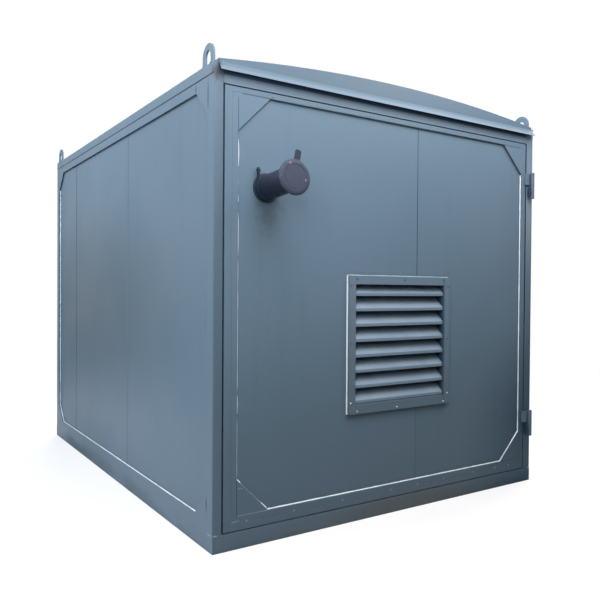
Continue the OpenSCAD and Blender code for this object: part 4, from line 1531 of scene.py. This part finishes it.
@dataclass
class Roof(SubAssembly):
    """Arched roof between two gables, the ceiling under it, laps between its sheets and the lifting eyes.

    Args:
        finishes: the container's finishes.
        lap_width, lap_height: of a lap between two sheets.
        laps: where the laps lie, in thirds of the roof's length from its middle.
        rivet_pitch: between a lap's rivets.
        band_width: of the painted shadow under the gable's skirt.
        eye_weld: width and height of the weld at an eye's foot.
        eye_run: where that weld starts and ends, from the eye's ends.
    """

    finishes: Finishes
    roof_radius: float = 0.0015
    gable_radius: float = 0.0016
    lap_width: float = 0.030
    lap_height: float = 0.0025
    laps: tuple[float, ...] = (-0.5, 0.5)
    rivet_pitch: float = 0.16
    band_width: float = 0.036
    eye_weld: tuple[float, float] = (0.007, 0.004)
    eye_run: tuple[float, float] = (0.003, 0.037)

    def build(self) -> None:
        """Folds the gables, dresses the sheets and adds laps, rivets, eyes and their welds."""
        self.fold("roof_sheet", self.finishes.roof, self.roof_radius)
        for end in ("front", "rear"):
            self.fold(f"gable_{end}", self.finishes.gable, self.gable_radius)
        self.dress("ceiling_panel", self.finishes.lining)
        self.lap_strips()
        self.drip_shadow_bands()
        self.eyes()

    def drip_shadow_bands(self) -> None:
        """A dark band on each end rail: painted shadow where the gable's skirt shades it."""
        bands = []
        for end, out in (("front", -1), ("rear", 1)):
            low, high = span(f"top_rail_{end}")
            start, stop = span(f"corner_post_{end}_left")[1][0], span(f"corner_post_{end}_right")[0][0]
            middle = low[2] + self.band_width / 2 + 0.0015
            face = facing(low[1] if out < 0 else high[1], out)
            bands.append(face.strip([(start, middle), (stop, middle)], self.band_width, 0.0003))
        self.add("drip_shadow_bands", Shell.together(bands), self.finishes.drip_shadow_paint, Body.HOUSING)

    def arch(self, x: Array) -> Array:
        """Height of the roof at each X, on the circle through its edges and crown: z = crown - R + sqrt(R^2 - x^2)."""
        points = corners_of("roof_sheet")
        half, crown = points[:, 0].max(), points[:, 2].max()
        rise = crown - points[points[:, 0] > half - NEAR, 2].max()
        radius = (half**2 + rise**2) / (2 * rise)
        return crown - radius + np.sqrt(radius**2 - x**2)

    def lap_strips(self) -> None:
        """Each lap is a flat section carried over the arch: point = arch + u * Y + v * Z."""
        low, high = span("roof_sheet")
        line = np.linspace(low[0] + 0.02, high[0] - 0.02, 61)
        across = np.arange(low[0] + 0.07, high[0] - 0.05, self.rivet_pitch)
        middle, length = (low[1] + high[1]) / 2, high[1] - low[1]
        half, tall = self.lap_width / 2, self.lap_height
        foot, edge, crown = -0.002, tall * 0.5, half - tall
        section = np.array([[-half, foot], [half, foot], [half, edge], [crown, tall], [-crown, tall], [-half, edge]])
        strips, places = [], []
        for share in self.laps:
            y = middle + share * length / 3
            path = placed(line, y, self.arch(line))
            strips.append(carried(section, path, np.tile([0.0, 1.0, 0.0], (len(path), 1)), np.array([0.0, 0.0, 1.0])))
            places.append(placed(across, y, self.arch(across) + tall))
        self.add("roof_laps", Shell.together(strips), self.finishes.roof, Body.HOUSING)
        rivet = turned(dome(0.005, 0.0018), (0, 0, 0), steps=10)
        self.add("roof_lap_rivets", rivet.at_each(np.concatenate(places)), self.finishes.roof, Body.HOUSING)

    def eyes(self) -> None:
        """Each eye is folded and has a weld along both sides of its foot, at either end."""
        shells = []
        near, far = self.eye_run
        for corner in CORNERS:
            self.fold(f"lifting_eye_{corner}", self.finishes.frame, 0.0015, steps=2)
            low, high = span(f"lifting_eye_{corner}")
            face = Wall((0, 0, low[2]), (1, 0, 0), (0, 1, 0), (0, 0, 1))
            for x in (low[0] - 0.001, high[0] + 0.001):
                for start, end in ((low[1] + near, low[1] + far), (high[1] - far, high[1] - near)):
                    shells.append(face.ripples((x, start), (x, end), *self.eye_weld))
        self.add("lifting_eye_welds", Shell.together(shells), self.finishes.frame, Body.HOUSING)


@dataclass
class Door(SubAssembly):
    """Front leaf: welded ring, trim with cut corners, recessed sheet, sealant, rivets and corner plate seams.

    Args:
        finishes: the container's finishes.
        left_edge, low_edge, lip, cut: the trim's opening, from the trim's own box, and its cut corners.
        rivet_shares, top_rivet_shares: where the rivets stand, as shares of the leaf's width.
        cut_runs: start, end and seed of the stretches of sealant on the lower left cut, as shares of it.
        left_runs: top, bottom and size of the stretches up the left.
        seam_shares: width of a seam's shadow above and below the air inlet, as a share of its groove.
    """

    finishes: Finishes
    frame_radius: float = 0.0016
    trim_radius: float = 0.0012
    left_edge: float = 0.032
    low_edge: float = 0.031
    lip: float = 0.003
    cut: float = 0.175
    rivet_shares: tuple[float, ...] = (0.058, 0.183, 0.324, 0.479, 0.573, 0.670, 0.787, 0.877, 0.936)
    top_rivet_shares: tuple[float, ...] = (0.121, 0.4, 0.66, 0.9)
    cut_runs: tuple[tuple[float, float, int], ...] = ((0.05, 0.21, 6), (0.88, 0.97, 7))
    left_runs: tuple[tuple[float, float, float], ...] = (
        (1.951, 1.824, 1.0),
        (1.824, 1.690, 0.55),
        (1.690, 1.655, 1.0),
        (1.605, 1.400, 0.95),
        (1.400, 0.735, 0.76),
        (0.735, 0.645, 1.0),
        (0.645, 0.315, 0.72),
    )
    seam_shares: tuple[float, float] = (1.9, 0.96)

    def build(self) -> None:
        """Dresses the leaf and adds what was done to it by hand."""
        self.fold("door_frame", self.finishes.leaf_frame, self.frame_radius)
        self.fold("door_trim", self.finishes.leaf_frame, self.trim_radius)
        self.dress("door_sheet", self.finishes.leaf)
        self.dress("door_panel", self.finishes.lining)
        low, high = span("door_trim")
        self.face, self.recess = facing(low[1], -1), facing(high[1], -1)
        self.low = (low[0] + self.left_edge, low[2] + self.low_edge)
        self.high = (high[0] - self.lip, high[2] - self.lip)
        self.sealing()
        self.corner_seams()
        self.riveting()
        self.seal()
        self.sheet_seams()

    def sheet_seams(self) -> None:
        """The shadow in each groove between two sheets, broken where the air inlet covers it."""
        inlet_low, inlet_high = span("louvre_frame")
        finishes = (self.finishes.joint, self.finishes.sheet_joint)
        for number, (place, width, foot, head) in enumerate(grooves("door_sheet", 0, 1, -1.0), 1):
            runs = [(foot, head)]
            if inlet_low[0] < place < inlet_high[0]:
                runs = [(inlet_high[2] - 0.01, head), (foot, inlet_low[2] + 0.01)]
            for run, share, ending, finish in zip(runs, self.seam_shares, ("", "_low"), finishes):
                line = self.recess.strip(upright(place, *run), width * share, 0.0002)
                self.add(f"door_seam_{number}{ending}", line, finish, Body.DOOR)

    def sealing(self) -> None:
        """A full bead along the bottom, the lower right cut and the right edge; broken stretches up the left."""
        ring = octagon(self.low, self.high, self.cut)
        # the full pale bead lies where the trim's returns catch the light: sealant, partly a painted highlight
        full = [self.recess.bead(ring[0:4], 0.0046, 0.0044, 3)]
        foot, tip = ring[0], ring[7]
        for start, end, seed in self.cut_runs:
            run = np.array([foot + (tip - foot) * end, foot + (tip - foot) * start])
            full.append(self.recess.bead(run, 0.0070, 0.0100, seed, 0.2))
        for number, (top, bottom, size) in enumerate(self.left_runs):
            run = upright(self.low[0], top, bottom)
            full.append(self.recess.bead(run, 0.0105 * size, 0.0113, 20 + number, 0.06, 0.3))
        self.add("door_sealant", Shell.together(full), self.finishes.sealant, Body.DOOR)
        thin = self.recess.bead(ring[[7, 0]], 0.0040, 0.0060, 5, 0.25)
        self.add("door_sealant_thin", thin, self.finishes.thin_sealant, Body.DOOR)

    def corner_seams(self) -> None:
        """Hairline seams where each corner plate meets the ring: pale sealant below, and dark lines of painted shade in
        the hairline grooves elsewhere.
        """
        (a, b), (c, d), cut = self.low, self.high, self.cut
        pale = (
            [(a + 0.004, b), (a + cut, b)],
            [(a + 0.004, b + 0.130), (a + 0.034, b + 0.130)],
            [(a - 0.028, b - 0.026), (a + 0.016, b - 0.024)],
        )
        dark = (
            [(c - cut, b), (c + 0.001, b)],
            [(a, b), (a, b + cut)],
            [(a, d - 0.02), (a, d - cut)],
            [(a + 0.02, d), (a + cut, d)],
            [(c - cut, d - 0.004), (c - 0.012, d - 0.004)],
        )
        for tone, runs, width, finish in (
            ("pale", pale, 0.0030, self.finishes.thin_sealant),
            ("dark", dark, 0.0018, self.finishes.joint),
        ):
            shells = [self.face.strip(run, width, 0.0003) for run in runs]
            self.add(f"corner_plate_seams_{tone}", Shell.together(shells), finish, Body.DOOR)

    def riveting(self) -> None:
        """Domed rivets along the lower and upper rail, at their shares of the leaf's width."""
        low, high = span("door_frame")
        trim_low, trim_high = span("door_trim")
        rivet = turned(dome(0.0048, 0.0022), (0, 0, 0), (0, -1, 0), 12)
        for row, shares, level, finish in (
            ("low", self.rivet_shares, trim_low[2] + 0.001, self.finishes.weld),
            ("high", self.top_rivet_shares, trim_high[2] + 0.010, self.finishes.leaf_frame),
        ):
            places = placed(low[0] + np.array(shares) * (high[0] - low[0]), low[1], level)
            self.add(f"door_rivets_{row}", rivet.at_each(places), finish, Body.DOOR)

    def seal(self) -> None:
        """Black rubber round the opening: a thin section with a rounded lip, carried round posts, header and base."""
        left, right = span("corner_post_front_left")[1][0], span("corner_post_front_right")[0][0]
        low, high = span("base_rail_front")[1][2], span("door_header")[0][2]
        front, back = span("corner_post_front_left")[0][1], span("door_frame")[1][1]
        face = facing(back, -1)
        deep = back - front - 0.010
        t = np.linspace(-math.pi / 2, math.pi / 2, 7)
        lip = np.stack([0.0012 + 0.0012 * np.sin(t), deep - 0.004 + 0.004 * np.cos(t)], 1)
        section = np.concatenate([[[-BURIED, 0], [0.0018, 0]], lip[::-1], [[-BURIED, deep - 0.004]]])
        path, side, _ = mitred([(left, low), (right, low), (right, high), (left, high)], 0.4, ring=True)
        shell = carried(section, face.lift(path), face.turn(side), np.array([0.0, -1.0, 0.0]), ring=True)
        self.add("door_rubber_seal", shell, self.finishes.rubber, Body.HOUSING)


@dataclass
class Louvre(SubAssembly):
    """Air inlet: framed blades with returned lips, screwed to the door.

    Args:
        finishes: the container's finishes.
        screw_inset: from the frame's edge to its screws.
        side_heights: of the screws up each side.
        low_row, high_row: where the screws of each row stand, from the frame's middle.
        collar_edge, collar_width: of the collar on the inner face, from the frame's edge.
    """

    finishes: Finishes
    blades: int = 8
    frame_radius: float = 0.0012
    blade_radius: float = 0.0010
    screw_inset: float = 0.015
    side_heights: tuple[float, ...] = (0.639, 0.957, 1.265)
    low_row: tuple[float, ...] = (-0.316, -0.034, 0.327)
    high_row: tuple[float, ...] = (-0.322, 0.017, 0.322)
    collar_edge: float = 0.024
    collar_width: float = 0.04

    def build(self) -> None:
        """Folds the frame and blades, and adds screws, sealant and the collar."""
        self.fold("louvre_frame", self.finishes.louvre, self.frame_radius)
        for number in range(1, self.blades + 1):
            self.fold(f"louvre_blade_{number}", self.finishes.blade, self.blade_radius, Folds.ALONG_X)
        self.low, self.high = span("louvre_frame")
        self.screws()
        self.sealing()
        self.collar()

    def screws(self) -> None:
        """Screws on washers up both sides, below and above. Those at the foot have lost their paint."""
        low, high, inset = self.low, self.high, self.screw_inset
        middle, face = (low[0] + high[0]) / 2, low[1]
        places = [(x, face, z) for x in (low[0] + inset, high[0] - inset) for z in self.side_heights]
        rows = ((low[2] + inset, self.low_row), (high[2] - inset - 0.004, self.high_row))
        places = np.array(places + [(middle + x, face, z) for z, row in rows for x in row])
        rim = np.array([[0.0, 0.0008], [0.0046, 0.0008], [0.0050, 0.0004], [0.0050, -BURIED], [0.0, -BURIED]])
        washer = turned(rim, (0, 0, 0), (0, -1, 0), 14)
        head = turned(dome(0.0034, 0.0016, 3, 0.0016), (0, -0.0007, 0), (0, -1, 0), 12)
        screw = Shell.together([washer, head])
        bare = places[:, 2] < low[2] + 0.1
        self.add("louvre_screws_bare", screw.at_each(places[bare]), self.finishes.zinc_dull, Body.DOOR)
        self.add("louvre_screws_painted", screw.at_each(places[~bare]), self.finishes.old_screw, Body.DOOR)

    def sealing(self) -> None:
        """A fresh bead up the left of the frame and a thin one along its top."""
        low, high = self.low, self.high
        sheet = facing(span("door_sheet")[0][1], -1)
        # the bright bead lies where the frame's left flank catches the light: sealant, partly a painted highlight
        left = sheet.bead(upright(low[0], low[2] + 0.002, high[2]), 0.0022, 0.0100, 31, 0.04)
        top = sheet.bead([(low[0], high[2]), (high[0], high[2])], 0.0040, 0.005, 32, 0.2)
        self.add("louvre_sealant", left, self.finishes.fresh_sealant, Body.DOOR)
        self.add("louvre_sealant_top", top, self.finishes.thin_sealant, Body.DOOR)

    def collar(self) -> None:
        """A flat collar round the duct on the inner face of the door."""
        edge = self.collar_edge
        (a, _, b), (c, _, d) = self.low + edge, self.high - edge
        face = facing(span("door_panel")[1][1], 1)
        ring = face.strip([(a, b), (c, b), (c, d), (a, d)], self.collar_width, 0.0015, ring=True)
        self.add("louvre_collar", ring, self.finishes.lining, Body.DOOR)


@dataclass
class Hinges(SubAssembly):
    """Two lift-off hinges: barrels, leaves, pin caps and welds.

    Args:
        finishes: the container's finishes.
        fold_radius: of the halves' edges.
        cap_height: of the domed end of a barrel.
        foot_offset: from the barrel's axis to the welds of the half on the post.
        weld: width and height of a weld.
    """

    finishes: Finishes
    fold_radius: float = 0.0010
    cap_height: float = 0.0025
    foot_offset: float = 0.0095
    weld: tuple[float, float] = (0.006, 0.003)

    def build(self) -> None:
        """Folds both halves of each hinge, caps the barrels and welds them on."""
        caps, welds = {"post": [], "door": []}, {"post": [], "door": []}
        face = facing(span("corner_post_front_right")[0][1], -1)
        for level in ("lower", "upper"):
            for half in ("post", "door"):
                self.fold(f"hinge_{half}_half_{level}", self.finishes.hinge, self.fold_radius, steps=2)
            (left, front, foot), high = span(f"hinge_post_half_{level}")
            door_low, door_high = span(f"hinge_door_half_{level}")
            centre = (high[0] + left) / 2
            barrel = (high[0] - centre) - 0.0015
            caps["post"].append(self.cap((centre, front + barrel + 0.0015, foot), barrel, -1))
            for x in (centre - self.foot_offset, centre + self.foot_offset):
                welds["post"].append(face.ripples((x, foot + 0.003), (x, door_low[2] - 0.004), *self.weld))
            centre = (door_high[0] + left) / 2
            barrel = (door_high[0] - centre) - 0.0015
            caps["door"].append(self.cap((centre, door_low[1] + barrel + 0.0015, door_high[2]), barrel, 1))
            x = door_low[0] - 0.001
            welds["door"].append(face.ripples((x, door_low[2] + 0.004), (x, door_high[2] - 0.004), *self.weld))
        for half, body in (("post", Body.HOUSING), ("door", Body.DOOR)):
            self.add(f"hinge_caps_{half}", Shell.together(caps[half]), self.finishes.hinge, body)
            self.add(f"hinge_welds_{half}", Shell.together(welds[half]), self.finishes.hinge, body)

    def cap(self, place: Point, barrel: float, up: int) -> Shell:
        """The domed end of a barrel, turned about its upright axis."""
        return turned(dome(barrel * 0.8, self.cap_height), place, (0, 0, up), 18)


@dataclass
class Exhaust(SubAssembly):
    """Exhaust outlet through the door: pipe, cover ring, clamp and the rain flap on its pin.

    Args:
        finishes: the container's finishes.
        nut_radius, nut_height, nut_ease: of the clamp bolt's head and nut.
        tilt: of the pipe, in degrees.
        face_reach: from the flap's front edge to the middle of its face, along the flap.
        rivets: turn in degrees, distance from the middle and depth of each of the flap's rivets.
    """

    finishes: Finishes
    nut_radius: float = 0.0060
    nut_height: float = 0.0046
    nut_ease: float = 0.0012
    tilt: float = 4.0
    face_reach: float = 0.0595
    rivets: tuple[tuple[float, float, float], ...] = ((-24.0, 0.067, 0.0010), (102.0, 0.054, 0.0004))

    def build(self) -> None:
        """Rounds the rims of each part and adds the clamp's bolt and the flap's fixings."""
        for node, finish, radius in (
            ("exhaust_pipe", self.finishes.exhaust, 0.0006),
            ("flap_bracket", self.finishes.exhaust, 0.0008),
            ("exhaust_clamp", self.finishes.ring, 0.0006),
            ("exhaust_cover_ring", self.finishes.ring, 0.0006),
            ("flap_pin", self.finishes.flap, 0.0005),
            ("rain_flap", self.finishes.flap, 0.0008),
        ):
            self.fold(node, finish, radius, steps=2)
        self.clamp_bolt()
        self.flap_rivets()

    def clamp_bolt(self) -> None:
        """A six-sided head and nut against the ears of the clamp, on the bolt that its corners show."""
        points = corners_of("exhaust_clamp")
        ears = points[points[:, 2] > points[:, 2].max() - 0.0225]
        radius, height = self.nut_radius, self.nut_height
        flat = radius - self.nut_ease
        profile = np.array([[0.0, 0.0], [radius, 0.0], [radius, height - 0.0008], [flat, height], [0.0, height]])
        shells = []
        for side, away in ((ears[:, 0].min(), -1), (ears[:, 0].max(), 1)):
            end = ears[np.abs(ears[:, 0] - side) < NEAR].mean(axis=0)
            foot = end - np.array([away * 0.0068, 0.0, 0.0])
            shells.append(turned(profile, tuple(foot), (away, 0, 0), 6))
        self.add("clamp_bolt_ends", Shell.together(shells), self.finishes.ring, Body.DOOR)

    def flap_rivets(self) -> None:
        """Low domes on the flap's face: place = middle + R (sin t, slope * cos t, cos t), the slope from the tilt."""
        low, high = span("rain_flap")
        radius = (high[0] - low[0]) / 2
        slope = math.radians(self.tilt)
        front = low[1] + self.face_reach * math.sin(slope)
        middle = np.array([low[0] + radius, front, low[2] + radius * math.cos(slope)])
        turns, reaches, sinks = (np.array(column) for column in zip(*self.rivets))
        turns = np.radians(turns)
        rise = reaches * np.cos(turns)
        places = middle + placed(reaches * np.sin(turns), rise * math.tan(slope) + sinks, rise)
        rivet = turned(dome(0.0058, 0.0022), (0, 0, 0), (0, -1, 0), 14)
        self.add("flap_rivets", rivet.at_each(places), self.finishes.flap_rivet, Body.FLAP)


@dataclass
class Interior(SubAssembly):
    """Cover angles and strips over the joints of the lining.

    Args:
        finishes: the container's finishes.
        leg, thick: of a cover angle.
        strip: width of a flat strip.
        side_joints: where the side walls' joints lie.
        rivet_pitch: between a strip's rivets.
    """

    finishes: Finishes
    leg: float = 0.035
    thick: float = 0.0015
    strip: float = 0.05
    side_joints: tuple[float, ...] = (-0.5, 0.45)
    rivet_pitch: float = 0.28

    def build(self) -> None:
        """Angles up the rear corners and along floor and ceiling, and flat strips over the joints of the walls."""
        left, right = span("left_wall_panel")[1][0], span("right_wall_panel")[0][0]
        rear, top = span("rear_wall_panel")[0][1], span("ceiling_panel")[0][2]
        front, floor = span("left_wall_panel")[0][1], span("floor_plate")[1][2]
        leg, thick = self.leg, self.thick
        angle = np.array([[0, 0], [leg, 0], [leg, thick], [thick, thick], [thick, leg], [0, leg]])
        start, end = front + 0.01, rear - 0.001
        runs = []
        for x, toward in ((left, 1.0), (right, -1.0)):
            across = (toward, 0.0, 0.0)
            runs.append(((x, rear, floor), (x, rear, top), across, (0.0, -1.0, 0.0)))
            runs.append(((x, start, top), (x, end, top), across, (0.0, 0.0, -1.0)))
            runs.append(((x, start, floor), (x, end, floor), across, (0.0, 0.0, 1.0)))
        for z, toward in ((top, -1.0), (floor, 1.0)):
            ends = ((left + 0.001, rear, z), (right - 0.001, rear, z))
            runs.append((*ends, (0.0, -1.0, 0.0), (0.0, 0.0, toward)))
        shells = [carried(angle, np.array([a, b]), np.tile(across, (2, 1)), np.array(up)) for a, b, across, up in runs]
        foot, head = floor + leg, top - leg
        heights = np.arange(foot + 0.08, head, self.rivet_pitch)
        rivets = {}
        for side, x, out in (("left", left, 1), ("right", right, -1)):
            face = Wall((x, 0, 0), (0, 1, 0), (0, 0, 1), (out, 0, 0))
            shells += [face.strip(upright(y, foot, head), self.strip, thick) for y in self.side_joints]
            rows = [face.lift(np.stack([np.full_like(heights, y), heights], 1), thick) for y in self.side_joints]
            rivets[side] = turned(dome(0.005, 0.002), (0, 0, 0), (out, 0, 0), 10).at_each(np.concatenate(rows))
        shells.append(facing(rear, -1).strip(upright(0.0, foot, head), self.strip, thick))
        self.add("lining_covers", Shell.together(shells), self.finishes.lining, Body.HOUSING)
        for side, shell in rivets.items():
            self.add(f"lining_rivets_{side}", shell, self.finishes.zinc, Body.HOUSING)


# ---------------------------------------------------------------- the studio


@dataclass(frozen=True)
class Lamp:
    """A soft square lamp.

    Args:
        name: of the lamp.
        place: where it hangs.
        aim: the point that it faces.
        size: of its side.
        power: in watts.
        colour: of its light.
    """

    name: str
    place: Point
    aim: Point
    size: float
    power: float
    colour: Colour = (1.0, 1.0, 1.0)

    def hang(self) -> None:
        """Puts the lamp in, out of the camera's sight."""
        data = bpy.data.lights.new(self.name, "AREA")
        data.size, data.energy, data.color = self.size, self.power, self.colour
        lamp = bpy.data.objects.new(self.name, data)
        turn = (Vector(self.aim) - Vector(self.place)).to_track_quat("-Z", "Y")
        lamp.matrix_world = Matrix.Translation(self.place) @ turn.to_matrix().to_4x4()
        lamp.visible_camera = False
        bpy.context.scene.collection.objects.link(lamp)


@dataclass
class Studio:
    """A pale floor, soft light and the camera.

    Args:
        floor_rings: radii of the floor's rings.
        fade_start, fade_end: distances between which the floor fades to white.
        floor_level, bounce: the floor's tone as seen, and as it lights the object.
        sky: the calm sky that lights the object.
        lens, eye, yaw, pitch, roll: of the camera, in millimetres, metres and degrees.
        lamps: the lamps.
    """

    floor_rings: tuple[float, ...] = (0.0, 1.0, 2.5, 5.0, 8.0, 14.0)
    fade_start: float = 2.0
    fade_end: float = 4.2
    floor_level: float = 0.86
    bounce: float = 0.14
    sky: Colour = (0.045, 0.050, 0.058)
    lens: float = 39.2
    eye: Point = (-2.483, -4.245, 1.234)
    yaw: float = 33.458
    pitch: float = -0.787
    roll: float = 0.391
    lamps: tuple[Lamp, ...] = (
        Lamp("overhead", (-0.9, -2.9, 3.7), (-0.4, -1.5, 1.9), 2.0, 112.0, (1.0, 0.96, 1.0)),
        Lamp("overright", (0.9, -2.4, 3.2), (0.5, -1.5, 2.0), 1.2, 36.0, (1.0, 0.97, 1.0)),
        Lamp("front", (-2.4, -3.5, 2.3), (-0.6, -1.5, 1.5), 1.4, 52.0),
        Lamp("side", (-3.9, 0.3, 3.9), (-1.15, 0.2, 1.7), 2.6, 222.0, (0.78, 0.88, 1.0)),
        Lamp("low", (-3.2, -1.2, 0.5), (-1.15, -0.8, 0.4), 1.2, 15.0),
        Lamp("rear", (0.6, 4.4, 3.4), (0.0, 1.5, 1.4), 2.4, 210.0),
        Lamp("far side", (4.2, 0.2, 3.4), (1.15, 0.0, 1.4), 2.4, 210.0),
    )

    def build(self) -> None:
        """Sets everything round the object."""
        bpy.context.scene.view_settings.view_transform = "Standard"
        self.camera()
        self.world()
        self.floor()
        for lamp in self.lamps:
            lamp.hang()

    def camera(self) -> None:
        """The camera looks along its yaw and pitch and leans by its roll."""
        yaw, pitch, roll = (math.radians(a) for a in (self.yaw, self.pitch, self.roll))
        ahead = Vector((math.sin(yaw) * math.cos(pitch), math.cos(yaw) * math.cos(pitch), math.sin(pitch)))
        right = Vector((math.cos(yaw), -math.sin(yaw), 0.0))
        up = right.cross(ahead)
        right, up = right * math.cos(roll) + up * math.sin(roll), up * math.cos(roll) - right * math.sin(roll)
        data = bpy.data.cameras.new("camera")
        data.lens, data.sensor_width = self.lens, 36.0
        camera = bpy.data.objects.new("camera", data)
        turn = Matrix((right, up, -ahead)).transposed().to_4x4()
        camera.matrix_world = Matrix.Translation(self.eye) @ turn
        bpy.context.scene.collection.objects.link(camera)
        bpy.context.scene.camera = camera

    def seen(self, bench: Bench) -> Socket:
        """1 for rays that show the background: from the camera, in gloss and through glass."""
        path = bench.node("ShaderNodeLightPath").outputs
        either = bench.math("MAXIMUM", path["Is Camera Ray"], path["Is Glossy Ray"])
        return bench.math("MAXIMUM", either, path["Is Transmission Ray"])

    def world(self) -> None:
        """White where the background is seen, a calm sky where it lights the object."""
        world = bpy.data.worlds.new("studio")
        world.use_nodes = True
        world.node_tree.nodes.clear()
        bench = Bench(world.node_tree)
        colour = bench.blend(self.seen(bench), self.sky, WHITE)
        light = bench.node("ShaderNodeBackground", {"Color": colour, "Strength": 1.0})
        bench.node("ShaderNodeOutputWorld", {"Surface": light.outputs[0]})
        bpy.context.scene.world = world

    def floor(self) -> None:
        """A disc under the object: point = (r cos t, r sin t, 0), pale, fading to white away from the object."""
        rings = np.array([(radius, 0.0) for radius in self.floor_rings])
        shell = turned(rings, (0, 0, CAD_BOX[0].z - 0.0005), steps=96)
        mesh = bpy.data.meshes.new("studio_floor")
        mesh.from_pydata(shell.points, [], shell.rows())
        mesh.validate()
        floor = bpy.data.objects.new("studio_floor", mesh)
        bpy.context.scene.collection.objects.link(floor)
        material = bpy.data.materials.new("studio floor")
        material.use_nodes = True
        material.node_tree.nodes.clear()
        bench = Bench(material.node_tree)
        seen, direct = self.seen(bench), bench.node("ShaderNodeLightPath").outputs["Is Camera Ray"]
        grain = bench.remap(bench.noise(bench.point(), 3.0, 3.0), 0.3, 0.7, 0.97, 1.0)
        tone = bench.blend(seen, (self.bounce,) * 3, bench.shade((self.floor_level,) * 3, grain))
        matt = bench.node("ShaderNodeBsdfDiffuse", {"Color": tone})
        glow = bench.node("ShaderNodeEmission", {"Color": WHITE, "Strength": 1.0})
        away = bench.vector("LENGTH", bench.point()).outputs["Value"]
        fade = bench.remap(away, self.fade_start, self.fade_end, 0.62, 1.0)
        mix = bench.node("ShaderNodeMixShader", {0: bench.times(direct, fade), 1: matt.outputs[0], 2: glow.outputs[0]})
        bench.node("ShaderNodeOutputMaterial", {"Surface": mix.outputs[0]})
        mesh.materials.append(material)


def main() -> None:
    """Builds each sub-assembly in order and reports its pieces."""
    logging.basicConfig(level=logging.INFO, format="%(message)s")
    finishes = Finishes()
    for part in (Frame, Walls, Roof, Door, Louvre, Hinges, Exhaust, Interior):
        work = part(finishes)
        work.build()
        work.report()
    Studio().build()


if __name__ == "__main__":
    main()
